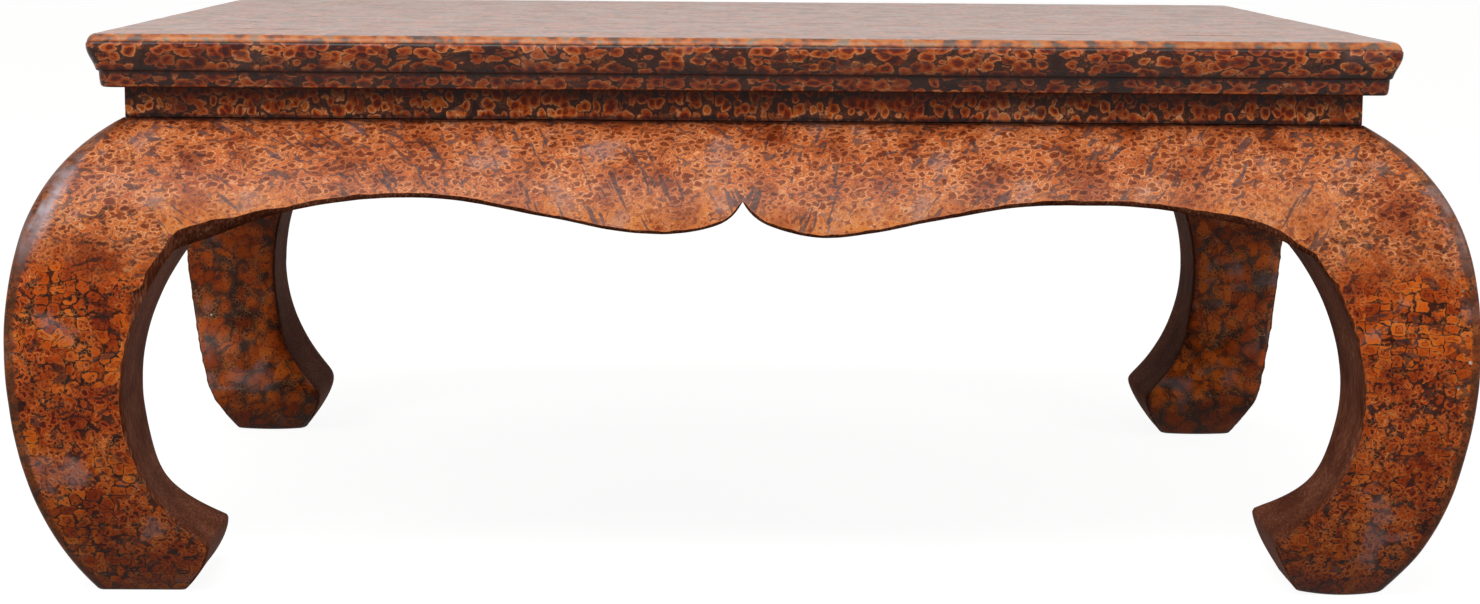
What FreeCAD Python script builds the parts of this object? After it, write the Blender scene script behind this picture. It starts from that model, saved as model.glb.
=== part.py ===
import FreeCAD, Part
import math
import os
from types import SimpleNamespace

import Sketcher

# Waisted low table with bulging legs and aprons, lying on the floor plane z = 0.
# X runs along the top, Y from front to back, and the origin is under the middle of the top.
# Offsets are measured outwards from the rectangle topLength by topDepth.

os.makedirs("parts", exist_ok=True)
doc = FreeCAD.newDocument("KangTable")

sizeTable = [
    ("tableHeight", 457.0, "floor to top surface"),
    ("topLength", 1040.0, "length of the reference rectangle"),
    ("topDepth", 750.0, "depth of the reference rectangle"),
    ("overrun", 20.0, "how far a cutting solid passes the wood it cuts"),
    ("fitGap", 0.1, "clearance round tenons, keys, tongues and dowels"),
    # Top frame and its moulded edge
    ("frameThickness", 40.6, "top surface to underside of the frame"),
    ("frameWidth", 90.0, "reference edge to the panel opening"),
    ("edgeBulge", 10.0, "widest point of the edge moulding"),
    ("edgeRadius", 9.0, "rounding from the flat top to the widest point"),
    ("edgeFaceDrop", 30.0, "top surface down to the groove"),
    ("edgeFaceStand", 4.0, "moulding face where it meets the groove"),
    ("edgeGrooveStand", 0.5, "floor of the groove"),
    ("edgeGrooveHeight", 2.5, "height of the groove"),
    ("edgeLedgeStand", 2.5, "top of the ledge under the groove"),
    ("edgeFootStand", 0.5, "bottom of the ledge"),
    # Corner joint of the frame
    ("frameTenonThickness", 14.0, "thickness of the stile's tenon"),
    ("frameTenonDrop", 12.0, "top surface down to the tenon"),
    ("frameTenonWidth", 28.0, "width of the tenon"),
    ("frameTenonSetback", 34.0, "reference edge to the tenon's outer side"),
    ("frameTenonCover", 16.0, "wood left between the tenon's end and the reference edge"),
    ("pegDiameter", 8.0, "peg through the corner tenon"),
    ("pegSetback", 26.0, "peg centre from the rail's reference edge"),
    ("pegCover", 7.0, "wood left above the peg"),
    # Panel of three tongued boards
    ("panelThickness", 18.0, "thickness of the boards"),
    ("panelTongueDrop", 10.0, "top surface down to the tongue"),
    ("panelTongueThickness", 6.0, "thickness of the tongue round the panel"),
    ("panelTongueReach", 7.0, "how far the tongue enters the frame"),
    ("panelGrooveDepth", 8.0, "depth of the groove in the frame"),
    ("boardTongueDrop", 6.0, "top surface down to the tongue between boards"),
    ("boardTongueThickness", 5.0, "thickness of the tongue between boards"),
    ("boardTongueReach", 6.0, "reach of the tongue between boards"),
    # Cross battens under the panel
    ("battenWidth", 36.0, "width of a batten"),
    ("battenDepth", 20.0, "batten below the panel"),
    ("dovetailRoot", 24.0, "dovetail width where it enters the panel"),
    ("dovetailTip", 30.0, "dovetail width inside the panel"),
    ("dovetailHeight", 5.0, "dovetail height"),
    ("battenTenonWidth", 20.0, "width of a batten's end tenon"),
    ("battenTenonThickness", 11.0, "thickness of the end tenon"),
    ("battenTenonReach", 14.0, "how far the end tenon enters the stile"),
    ("battenShare", 0.32, "outer battens' place as a share of the opening's length"),
    # Waist
    ("waistHeight", 28.4, "apron top to frame underside"),
    ("waistSetback", 15.2, "reference edge to the waist's face"),
    ("waistThickness", 18.0, "thickness of the waist strips"),
    ("dowelDiameter", 8.0, "dowel joining apron, waist and frame"),
    ("dowelBelow", 12.0, "dowel below the waist"),
    ("dowelAbove", 10.0, "dowel above the waist"),
    # Leg: its outer and inner curves are the same seen from the front and from the side
    ("legBulge", 69.0, "widest point of the leg"),
    ("legBulgeHeight", 207.0, "height of the widest point"),
    ("legSole", 10.7, "outer edge of the sole"),
    ("shoulderSetback", 13.8, "top of the shoulder, inside the reference edge"),
    ("shoulderRunShare", 0.118, "where the belly curve turns into the shoulder, across"),
    ("shoulderRiseShare", 0.474, "and upwards"),
    ("calfRunShare", 0.19, "where the belly curve turns into the calf, across"),
    ("calfDropShare", 0.49, "and downwards"),
    ("legHollow", 22.0, "inner curve's outermost point, inside the reference edge"),
    ("legHollowHeight", 168.0, "height of that point"),
    ("springSetback", 79.0, "where leg and apron edge meet, inside the reference edge"),
    ("springDrop", 86.0, "apron top down to that point"),
    ("toeTip", 83.0, "tip of the toe, inside the reference edge"),
    ("toeTipHeight", 49.0, "height of the toe's tip"),
    ("toeHeel", 60.5, "inner edge of the sole, inside the reference edge"),
    ("legTenonHeight", 11.0, "leg tenon above the frame's underside"),
    ("legTenonLong", 16.0, "long side of a leg tenon"),
    ("legTenonShort", 9.0, "short side of a leg tenon"),
    ("legTenonShoulder", 1.5, "step from the post's face to the tenon"),
    # Aprons
    ("apronBackTop", 42.0, "flat back at the apron's top, inside the reference edge"),
    ("apronBackFoot", 20.0, "flat back at the spring, outside the reference edge"),
    ("archDrop", 58.0, "apron top down to the top of the arch"),
    ("lobeDrop", 84.5, "apron top down to the lowest point of a lobe"),
    ("notchDrop", 61.7, "apron top down to the notch in the middle"),
    ("archShare", 0.60, "top of the arch as a share of the half opening"),
    ("lobeShare", 0.163, "lowest point of the lobe as a share of the half opening"),
    ("swingShare", 0.30, "where the lobe curve turns into the arch curve"),
    # Hanging dovetail key between leg and apron
    ("keyRoot", 8.0, "key width at the leg"),
    ("keyTip", 11.0, "key width inside the apron"),
    ("keyDepth", 8.0, "how far the key enters the apron"),
    ("keySetback", 72.0, "middle of the key, inside the reference edge"),
    ("keyDrop", 16.0, "apron top down to the key's upper end, along the back"),
    ("keyLength", 52.0, "length of the key along the back"),
]

sheet = doc.addObject("Spreadsheet::Sheet", "Sizes")
for row, (alias, value, note) in enumerate(sizeTable, start=1):
    sheet.set(f"A{row}", alias)
    sheet.set(f"B{row}", str(value))
    sheet.setAlias(f"B{row}", alias)
    sheet.set(f"C{row}", note)
doc.recompute()


def worth(other):
    return other.value if isinstance(other, Measure) else other


def wording(other):
    return other.formula if isinstance(other, Measure) else repr(other)


class Measure:
    # A number that carries the sheet formula it was worked out with

    def __init__(self, value, formula):
        self.value = value
        self.formula = formula

    def __add__(self, other):
        return Measure(self.value + worth(other), f"({self.formula} + {wording(other)})")

    def __sub__(self, other):
        return Measure(self.value - worth(other), f"({self.formula} - {wording(other)})")

    def __mul__(self, other):
        return Measure(self.value * worth(other), f"({self.formula} * {wording(other)})")

    def __truediv__(self, other):
        return Measure(self.value / worth(other), f"({self.formula} / {wording(other)})")

    def __neg__(self):
        return Measure(-self.value, f"(-1 * {self.formula})")


size = SimpleNamespace(**{
    alias: Measure(float(sheet.get(alias)), f"Sizes.{alias}") for alias, value, note in sizeTable
})

halfLength = size.topLength / 2
halfDepth = size.topDepth / 2
frameUnder = size.tableHeight - size.frameThickness
apronTop = frameUnder - size.waistHeight
springHeight = apronTop - size.springDrop
tall = size.tableHeight * 2 + size.overrun
acrossLength = size.topLength + (size.legBulge + size.overrun) * 2
acrossDepth = size.topDepth + (size.legBulge + size.overrun) * 2

# The front and the right side are drawn; the back and the left side are their mirror images
front = SimpleNamespace(
    name="front", sectionPlane="YZ_Plane", outlinePlane="XZ_Plane", sign=-1,
    half=halfDepth, run=halfLength, runAcross=acrossLength, depthAcross=acrossDepth,
)
right = SimpleNamespace(
    name="right", sectionPlane="XZ_Plane", outlinePlane="YZ_Plane", sign=1,
    half=halfLength, run=halfDepth, runAcross=acrossDepth, depthAcross=acrossLength,
)


def bind(obj, prop, measure):
    obj.setExpression(prop, wording(measure))


def outward(side, offset):
    return (side.half + offset) * side.sign


def arcCentre(start, end, rule, neighbour):
    # Centre of the arc from start to end whose tangent at one end the rule gives
    run = end[0] - start[0]
    rise = end[1] - start[1]
    chord = run * run + rise * rise
    if rule == "plumbStart":
        return start[0] + chord / (2 * run), start[1]
    if rule == "plumbEnd":
        return end[0] - chord / (2 * run), end[1]
    if rule == "levelStart":
        return start[0], start[1] + chord / (2 * rise)
    if rule == "levelEnd":
        return end[0], end[1] - chord / (2 * rise)
    # Smooth joins: the two centres and the shared point lie on one line
    shared = start if rule == "smoothStart" else end
    far = end if rule == "smoothStart" else start
    axis = (neighbour[0] - shared[0], neighbour[1] - shared[1])
    length = math.hypot(*axis)
    normal = (axis[0] / length, axis[1] / length)
    reach = (far[0] - shared[0]) * normal[0] + (far[1] - shared[1]) * normal[1]
    radius = chord / (2 * reach)
    return shared[0] + normal[0] * radius, shared[1] + normal[1] * radius


def drawOutline(sketch, corners, curves):
    # Closed outline through the corners; curves gives the edges that are arcs and their rule
    spots = [(worth(across), worth(up)) for across, up in corners]
    count = len(spots)
    centres = {}
    for edge, rule in sorted(curves.items(), key=lambda item: item[1].startswith("smooth")):
        step = -1 if rule == "smoothStart" else 1
        neighbour = centres.get((edge + step) % count)
        centres[edge] = arcCentre(spots[edge], spots[(edge + 1) % count], rule, neighbour)
    ends = []
    for edge in range(count):
        start = spots[edge]
        end = spots[(edge + 1) % count]
        if edge not in centres:
            line = Part.LineSegment(FreeCAD.Vector(*start, 0), FreeCAD.Vector(*end, 0))
            sketch.addGeometry(line, False)
            ends.append((1, 2))
            continue
        middle = centres[edge]
        startAngle = math.atan2(start[1] - middle[1], start[0] - middle[0])
        endAngle = math.atan2(end[1] - middle[1], end[0] - middle[0])
        turn = math.remainder(endAngle - startAngle, 2 * math.pi)
        circle = Part.Circle(
            FreeCAD.Vector(*middle, 0), FreeCAD.Vector(0, 0, 1), math.dist(start, middle)
        )
        if turn > 0:
            sketch.addGeometry(Part.ArcOfCircle(circle, startAngle, startAngle + turn), False)
            ends.append((1, 2))
        else:
            sketch.addGeometry(Part.ArcOfCircle(circle, endAngle, endAngle - turn), False)
            ends.append((2, 1))
    smoothJoints = set()
    for edge, rule in curves.items():
        if rule == "smoothStart":
            smoothJoints.add(edge)
        if rule == "smoothEnd":
            smoothJoints.add((edge + 1) % count)
    for corner in range(count):
        before = (corner - 1) % count
        kind = "Tangent" if corner in smoothJoints else "Coincident"
        sketch.addConstraint(
            Sketcher.Constraint(kind, before, ends[before][1], corner, ends[corner][0])
        )
    for edge, rule in curves.items():
        point = ends[edge][0] if rule.endswith("Start") else ends[edge][1]
        if rule.startswith("plumb"):
            sketch.addConstraint(Sketcher.Constraint("Horizontal", edge, 3, edge, point))
        if rule.startswith("level"):
            sketch.addConstraint(Sketcher.Constraint("Vertical", edge, 3, edge, point))
    for corner, (across, up) in enumerate(corners):
        point = ends[corner][0]
        for kind, measure in (("DistanceX", across), ("DistanceY", up)):
            if worth(measure) == 0:
                onAxis = -2 if kind == "DistanceX" else -1
                sketch.addConstraint(Sketcher.Constraint("PointOnObject", corner, point, onAxis))
                continue
            made = sketch.addConstraint(
                Sketcher.Constraint(kind, -1, 1, corner, point, worth(measure))
            )
            sketch.renameConstraint(made, f"corner{corner}{kind}")
            bind(sketch, f"Constraints.corner{corner}{kind}", measure)


def padded(label, plane, corners, curves, length, symmetric=True):
    # A body with one sketch on an origin plane and one pad
    body = doc.addObject("PartDesign::Body", label)
    sketch = body.newObject("Sketcher::SketchObject", f"{label}Outline")
    origin = [feature for feature in body.Origin.OriginFeatures if feature.Role == plane]
    sketch.AttachmentSupport = [(origin[0], "")]
    sketch.MapMode = "FlatFace"
    drawOutline(sketch, corners, curves)
    pad = body.newObject("PartDesign::Pad", f"{label}Pad")
    pad.Profile = sketch
    bind(pad, "Length", length)
    if symmetric:
        pad.SideType = "Symmetric"
    body.Tip = pad
    return body


def box(label, low, high):
    solid = doc.addObject("Part::Box", label)
    for prop, axis, start, end in zip(("Length", "Width", "Height"), "xyz", low, high):
        bind(solid, prop, end - start)
        bind(solid, f"Placement.Base.{axis}", start)
    return solid


def cylinder(label, diameter, middle, low, high):
    solid = doc.addObject("Part::Cylinder", label)
    bind(solid, "Radius", diameter / 2)
    bind(solid, "Height", high - low)
    bind(solid, "Placement.Base.x", middle[0])
    bind(solid, "Placement.Base.y", middle[1])
    bind(solid, "Placement.Base.z", low)
    return solid


def joined(label, kind, shapes):
    group = doc.addObject(kind, label)
    if kind == "Part::Compound":
        group.Links = shapes
    else:
        group.Shapes = shapes
    return group


def common(label, base, tool):
    return joined(label, "Part::MultiCommon", [base, tool])


def fused(label, shapes):
    return joined(label, "Part::MultiFuse", shapes)


def grouped(label, shapes):
    return joined(label, "Part::Compound", shapes)


def cut(label, base, tool):
    result = doc.addObject("Part::Cut", label)
    result.Base = base
    result.Tool = tool
    return result


def mirrored(label, source, normal):
    image = doc.addObject("Part::Mirroring", label)
    image.Source = source
    image.Normal = FreeCAD.Vector(*normal)
    return image


def acrossCorner(label, source):
    # Mirror image in the upright plane through the front right corner of the rectangle
    image = mirrored(label, source, (1, 1, 0))
    bind(image, "Base.x", halfLength)
    bind(image, "Base.y", -halfDepth)
    return image


def allRound(label, source):
    # A piece at the front right corner and its images at the other three
    leftImage = mirrored(f"{label}Left", source, (1, 0, 0))
    pair = grouped(f"{label}Pair", [source, leftImage])
    backPair = mirrored(f"{label}BackPair", pair, (0, 1, 0))
    return grouped(f"{label}All", [pair, backPair])


# Outer curve of leg and apron
shoulderRun = size.legBulge + size.shoulderSetback
shoulderTurn = (
    size.legBulge - shoulderRun * size.shoulderRunShare,
    size.legBulgeHeight + (apronTop - size.legBulgeHeight) * size.shoulderRiseShare,
)
calfTurn = (
    size.legBulge - (size.legBulge - size.legSole) * size.calfRunShare,
    size.legBulgeHeight - size.legBulgeHeight * size.calfDropShare,
)


def legProfile(side):
    corners = [
        (outward(side, size.legSole), 0),
        (outward(side, calfTurn[0]), calfTurn[1]),
        (outward(side, size.legBulge), size.legBulgeHeight),
        (outward(side, shoulderTurn[0]), shoulderTurn[1]),
        (outward(side, -size.shoulderSetback), apronTop),
        (outward(side, -size.springSetback), apronTop),
        (outward(side, -size.springSetback), springHeight),
        (outward(side, -size.legHollow), size.legHollowHeight),
        (outward(side, -size.toeTip), size.toeTipHeight),
        (outward(side, -size.toeHeel), 0),
    ]
    curves = {
        0: "smoothEnd", 1: "plumbEnd", 2: "plumbStart", 3: "smoothStart",
        6: "plumbEnd", 7: "plumbStart",
    }
    return padded(f"{side.name}LegProfile", side.sectionPlane, corners, curves, side.runAcross)


def apronBlank(side):
    # The bulging cross-section, cut to the apron's outline with its slanted mitres
    section = [
        (outward(side, -size.shoulderSetback), apronTop),
        (outward(side, shoulderTurn[0]), shoulderTurn[1]),
        (outward(side, size.legBulge), size.legBulgeHeight),
        (outward(side, size.apronBackFoot), size.legBulgeHeight),
        (outward(side, size.apronBackFoot), springHeight),
        (outward(side, -size.apronBackTop), apronTop),
    ]
    curves = {0: "smoothEnd", 1: "plumbEnd"}
    board = padded(f"{side.name}ApronSection", side.sectionPlane, section, curves, side.runAcross)
    opening = side.run - size.springSetback
    arch = (opening * size.archShare, apronTop - size.archDrop)
    lobe = (opening * size.lobeShare, apronTop - size.lobeDrop)
    swing = tuple(low + (high - low) * size.swingShare for low, high in zip(lobe, arch))
    spring = (opening, springHeight)
    mitreTop = (side.run - size.shoulderSetback, apronTop)
    half = [mitreTop, spring, arch, swing, lobe]
    corners = half + [(0, apronTop - size.notchDrop)] + [(-across, up) for across, up in half[::-1]]
    curves = {
        1: "levelEnd", 2: "levelStart", 3: "levelEnd", 4: "levelStart",
        5: "levelEnd", 6: "levelStart", 7: "levelEnd", 8: "levelStart",
    }
    outline = padded(
        f"{side.name}ApronOutline", side.outlinePlane, corners, curves, side.depthAcross
    )
    shaped = common(f"{side.name}ApronShaped", board, outline)
    corner = cornerWedge(f"{side.name}ApronCorner", side, size.legBulge + size.overrun,
                         -size.apronBackTop - size.overrun, tall, True)
    return common(f"{side.name}ApronBlank", shaped, corner)


def hangingKey(label, gap, below):
    # Dovetail on the front right leg, along the sloping back of the front apron
    root = size.keyRoot / 2 + gap
    tip = size.keyTip / 2 + gap
    depth = size.keyDepth + gap
    neck = root * 2 - tip
    corners = [(neck, depth), (tip, -depth), (-tip, -depth), (-neck, depth)]
    key = padded(label, "XY_Plane", corners, {}, size.keyLength + below, symmetric=False)
    slope = (size.apronBackTop + size.apronBackFoot) / size.springDrop
    bind(key, "Placement.Base.x", halfLength - size.keySetback)
    drop = size.keyDrop + size.keyLength + below
    along = f"cos(atan({slope.formula}))"
    aside = f"sin(atan({slope.formula}))"
    start = outward(front, -size.apronBackTop)
    key.Placement.Rotation = FreeCAD.Rotation(FreeCAD.Vector(1, 0, 0), -1)
    key.setExpression("Placement.Rotation.Angle", f"-atan({slope.formula})")
    key.setExpression("Placement.Base.y", f"{start.formula} - {drop.formula} * {aside}")
    key.setExpression("Placement.Base.z", f"{apronTop.formula} - {drop.formula} * {along}")
    return key


def legTenon(label, gap):
    # Tenon into the front stile, on the stile's side of the corner mitre
    high = frameUnder + size.legTenonHeight
    outerX = halfLength - size.springSetback + size.legTenonShoulder
    outerY = -halfDepth + size.apronBackTop + size.legTenonShoulder
    low = (outerX - gap, outerY - gap, frameUnder - gap)
    top = (outerX + size.legTenonLong + gap, outerY + size.legTenonShort + gap, high + gap)
    return box(label, low, top)


def dowels(side, label, gap, shares):
    # Upright dowels along the middle of a waist strip
    inset = outward(side, -size.waistSetback - size.waistThickness / 2)
    pins = []
    for number, share in enumerate(shares):
        along = side.run * share
        middle = (along, inset) if side is front else (inset, along)
        pins.append(cylinder(
            f"{label}{number}", size.dowelDiameter + gap * 2, middle,
            apronTop - size.dowelBelow - gap, frameUnder + size.dowelAbove + gap,
        ))
    return grouped(label, pins)


def frameMember(side):
    # Moulded section with the panel groove, mitred at both ends
    top = size.tableHeight
    grooveTop = top - size.panelTongueDrop + size.fitGap
    grooveFoot = top - size.panelTongueDrop - size.panelTongueThickness - size.fitGap
    inner = outward(side, -size.frameWidth)
    grooveFloor = outward(side, size.panelGrooveDepth - size.frameWidth)
    edgeFace = top - size.edgeFaceDrop
    ledge = edgeFace - size.edgeGrooveHeight
    section = [
        (inner, top),
        (outward(side, size.edgeBulge - size.edgeRadius), top),
        (outward(side, size.edgeBulge), top - size.edgeRadius),
        (outward(side, size.edgeFaceStand), edgeFace),
        (outward(side, size.edgeGrooveStand), edgeFace),
        (outward(side, size.edgeGrooveStand), ledge),
        (outward(side, size.edgeLedgeStand), ledge),
        (outward(side, size.edgeFootStand), frameUnder),
        (inner, frameUnder),
        (inner, grooveFoot),
        (grooveFloor, grooveFoot),
        (grooveFloor, grooveTop),
        (inner, grooveTop),
    ]
    curves = {1: "plumbEnd", 2: "plumbStart"}
    bar = padded(f"{side.name}FrameSection", side.sectionPlane, section, curves, side.runAcross)
    mitre = cornerWedge(f"{side.name}FrameMitre", side, size.edgeBulge + size.overrun,
                        -size.frameWidth - size.overrun, tall, True)
    return common(f"{side.name}FrameBar", bar, mitre)


def cornerWedge(label, side, outer, inner, height, symmetric):
    # Trapezium between the two corner mitres of one side, seen from above
    corners = []
    for offset, hand in ((outer, -1), (outer, 1), (inner, 1), (inner, -1)):
        along = (side.run + offset) * hand
        across = outward(side, offset)
        corners.append((along, across) if side is front else (across, along))
    return padded(label, "XY_Plane", corners, {}, height, symmetric)


def waistStrip(side):
    strip = cornerWedge(f"{side.name}WaistStrip", side, -size.waistSetback,
                        -size.waistSetback - size.waistThickness, size.waistHeight, False)
    bind(strip, "Placement.Base.z", apronTop)
    return strip


noGap = size.fitGap * 0
frontDowelShares = (-0.72, -0.26, 0.26, 0.72)
rightDowelShares = (-0.6, 0.0, 0.6)
subParts = []


def keep(label, obj):
    # A finished sub-part: its label is the name of its file
    obj.Label = label
    subParts.append(obj)
    return obj


def keepWithImage(name, side, obj):
    image = "back" if side is front else "left"
    normal = (0, 1, 0) if side is front else (1, 0, 0)
    other = mirrored(f"{image}{name.title().replace('_', '')}", obj, normal)
    keep(f"{name}_{side.name}", obj)
    keep(f"{name}_{image}", other)


# Aprons
blanks = {side.name: apronBlank(side) for side in (front, right)}
slot = hangingKey("keySlot", size.fitGap, size.overrun)
slotsFront = allRound("keySlotFront", slot)
slotsRight = allRound("keySlotRight", acrossCorner("keySlotAcross", slot))
dowelHoles = {
    "front": dowels(front, "frontDowelHoles", size.fitGap, frontDowelShares),
    "right": dowels(right, "rightDowelHoles", size.fitGap, rightDowelShares),
}
for side, slots in ((front, slotsFront), (right, slotsRight)):
    cutters = grouped(f"{side.name}ApronCutters", [slots, dowelHoles[side.name]])
    keepWithImage("apron", side, cut(f"{side.name}Apron", blanks[side.name], cutters))

# Legs: two crossed profiles, notched for the aprons, with post, keys and tenons
legCore = common("legCore", legProfile(front), legProfile(right))
legNotched = cut("legNotched", cut("legNotchedFront", legCore, blanks["front"]), blanks["right"])
post = box(
    "legPost",
    (halfLength - size.springSetback, -halfDepth + size.apronBackTop, springHeight),
    (halfLength - size.apronBackTop, -halfDepth + size.springSetback, frameUnder),
)
postNotched = cut("legPostNotched", cut("legPostNotchedFront", post, blanks["front"]),
                  blanks["right"])
tenon = legTenon("legTenon", noGap)
key = hangingKey("legKey", noGap, noGap)
leg = fused("legFrontRight", [
    legNotched, postNotched, tenon, acrossCorner("legTenonAcross", tenon),
    key, acrossCorner("legKeyAcross", key),
])
keep("leg_front_right", leg)
legLeft = keep("leg_front_left", mirrored("legFrontLeft", leg, (1, 0, 0)))
keep("leg_back_right", mirrored("legBackRight", leg, (0, 1, 0)))
keep("leg_back_left", mirrored("legBackLeft", legLeft, (0, 1, 0)))

# Waist strips and the dowels that pin them
for side, shares in ((front, frontDowelShares), (right, rightDowelShares)):
    strip = cut(f"{side.name}Waist", waistStrip(side), dowelHoles[side.name])
    keepWithImage("waist", side, strip)
    keepWithImage("waist_dowels", side, dowels(side, f"{side.name}Dowels", noGap, shares))

# Cross battens
openLength = halfLength - size.frameWidth
openDepth = halfDepth - size.frameWidth
panelUnder = size.tableHeight - size.panelThickness
battenUnder = panelUnder - size.battenDepth
battenPlaces = {"left": -1, "middle": 0, "right": 1}


def battenSection(label, gap, length):
    root = size.dovetailRoot / 2 + gap
    tip = size.dovetailTip / 2 + gap
    wide = size.battenWidth / 2
    high = panelUnder + size.dovetailHeight + gap
    half = [(wide, battenUnder), (wide, panelUnder), (root, panelUnder), (tip, high)]
    corners = half + [(-across, up) for across, up in half[::-1]]
    return padded(label, "XZ_Plane", corners, {}, length)


def battenTenons(label, gap):
    # One bar through the batten makes the tenons at both ends
    wide = size.battenTenonWidth / 2 + gap
    reach = openDepth + size.battenTenonReach + gap
    rest = (size.battenDepth - size.battenTenonThickness) / 2
    low = (-wide, -reach, battenUnder + rest - gap)
    high = (wide, reach, panelUnder - rest + gap)
    return box(label, low, high)


battenSlots = []
battenMortises = []
for name, hand in battenPlaces.items():
    along = openLength * 2 * size.battenShare * hand
    batten = fused(f"{name}Batten", [
        battenSection(f"{name}BattenBar", noGap, openDepth * 2),
        battenTenons(f"{name}BattenTenons", noGap),
    ])
    slotTool = battenSection(f"{name}BattenSlot", size.fitGap, openDepth * 2)
    mortiseTool = battenTenons(f"{name}BattenMortises", size.fitGap)
    for placed in (batten, slotTool):
        bind(placed, "Placement.Base.x", along)
    bind(mortiseTool, "Placement.Base.x", along - size.battenTenonWidth / 2 - size.fitGap)
    battenSlots.append(slotTool)
    battenMortises.append(mortiseTool)
    keep(f"batten_{name}", batten)

# Panel: a slab with a tongue all round, divided into three boards with tongues between them
tongueTop = size.tableHeight - size.panelTongueDrop
slab = box("panelSlab", (-openLength, -openDepth, panelUnder),
           (openLength, openDepth, size.tableHeight))
rim = box(
    "panelRim",
    (-openLength - size.panelTongueReach, -openDepth - size.panelTongueReach,
     tongueTop - size.panelTongueThickness),
    (openLength + size.panelTongueReach, openDepth + size.panelTongueReach, tongueTop),
)
panel = cut("panelSlotted", fused("panelBlank", [slab, rim]), grouped("battenSlots", battenSlots))
boardWidth = openDepth * 2 / 3
boardTongueTop = size.tableHeight - size.boardTongueDrop
boardTongueFoot = boardTongueTop - size.boardTongueThickness
longEnd = openLength + size.panelTongueReach + size.overrun


def boardTongue(label, start, gap):
    # Tongue from the joint at start into the next board
    return box(
        label, (-longEnd, start - gap, boardTongueFoot - gap),
        (longEnd, start + size.boardTongueReach + gap, boardTongueTop + gap),
    )


for number, name in enumerate(("front", "middle", "back")):
    start = boardWidth * number - openDepth
    end = start + boardWidth
    low = start - size.overrun if name == "front" else start
    high = end + size.overrun if name == "back" else end
    zone = box(f"{name}BoardZone", (-longEnd, low, noGap), (longEnd, high, tall))
    if name != "back":
        zone = fused(f"{name}BoardReach", [zone, boardTongue(f"{name}BoardTongue", end, noGap)])
    board = common(f"{name}BoardBlank", panel, zone)
    if name != "front":
        board = cut(f"{name}Board", board, boardTongue(f"{name}BoardGroove", start, size.fitGap))
    keep(f"panel_board_{name}", board)

# Top frame: stiles carry the tenons, rails the mortises
tenonTop = size.tableHeight - size.frameTenonDrop
tenonEnd = halfLength - size.frameTenonCover


def frameTenon(label, gap):
    outer = -halfDepth + size.frameTenonSetback
    low = (-tenonEnd - gap, outer - gap, tenonTop - size.frameTenonThickness - gap)
    high = (tenonEnd + gap, outer + size.frameTenonWidth + gap, tenonTop + gap)
    return box(label, low, high)


def cornerPeg(label, gap):
    # Upright peg driven from below through the rail and the stile's tenon
    middle = (
        halfLength - size.pegSetback,
        -halfDepth + size.frameTenonSetback + size.frameTenonWidth / 2,
    )
    top = size.tableHeight - size.pegCover + gap
    return cylinder(label, size.pegDiameter + gap * 2, middle, frameUnder - gap, top)


pegHoles = allRound("pegHole", cornerPeg("pegHole", size.fitGap))
legMortise = legTenon("legMortise", size.fitGap)
mortisesFront = allRound("legMortiseFront", legMortise)
mortisesRight = allRound("legMortiseRight", acrossCorner("legMortiseAcross", legMortise))
stileBlank = fused("stileBlank", [frameMember(front), frameTenon("stileTenon", noGap)])
stileCutters = grouped(
    "stileCutters", [mortisesFront, pegHoles, dowelHoles["front"]] + battenMortises
)
keepWithImage("frame_stile", front, cut("stile", stileBlank, stileCutters))
railSocket = frameTenon("railSocket", size.fitGap)
railCutters = grouped("railCutters", [
    railSocket, mirrored("railSocketBack", railSocket, (0, 1, 0)),
    mortisesRight, pegHoles, dowelHoles["right"],
])
keepWithImage("frame_rail", right, cut("rail", frameMember(right), railCutters))
keep("frame_pegs", allRound("framePeg", cornerPeg("framePeg", noGap)))

doc.recompute()
for obj in doc.Objects:
    if "Invalid" in obj.State or "Error" in obj.State:
        raise RuntimeError(f"{obj.Label} failed: {obj.State}")
for obj in subParts:
    if obj.Shape.isNull() or not obj.Shape.isValid():
        raise RuntimeError(f"{obj.Label} has no valid shape")
for obj in subParts:
    obj.Shape.exportStep(f"parts/{obj.Label}.step")
    print(obj.Label, len(obj.Shape.Solids), "solids", round(obj.Shape.Volume), "mm3")
print(len(subParts), "sub-parts")
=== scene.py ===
import math
from functools import partial

import bmesh
import bpy
from mathutils import Matrix, Vector, noise


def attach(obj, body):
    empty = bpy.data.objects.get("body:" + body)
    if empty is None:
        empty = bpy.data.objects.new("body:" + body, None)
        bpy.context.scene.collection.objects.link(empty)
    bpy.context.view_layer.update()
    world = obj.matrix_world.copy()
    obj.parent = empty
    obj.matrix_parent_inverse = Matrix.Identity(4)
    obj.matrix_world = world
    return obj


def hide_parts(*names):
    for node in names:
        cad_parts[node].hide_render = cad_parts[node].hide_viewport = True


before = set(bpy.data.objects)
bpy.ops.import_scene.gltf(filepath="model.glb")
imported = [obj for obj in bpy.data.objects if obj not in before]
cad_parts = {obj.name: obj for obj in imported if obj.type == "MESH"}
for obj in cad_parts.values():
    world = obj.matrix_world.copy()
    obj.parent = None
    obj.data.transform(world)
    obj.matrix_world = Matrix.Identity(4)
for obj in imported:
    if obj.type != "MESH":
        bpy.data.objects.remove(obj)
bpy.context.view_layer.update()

print("stage: frame loaded, pieces:", len(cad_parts))

mm = 0.001
scene = bpy.context.scene

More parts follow.
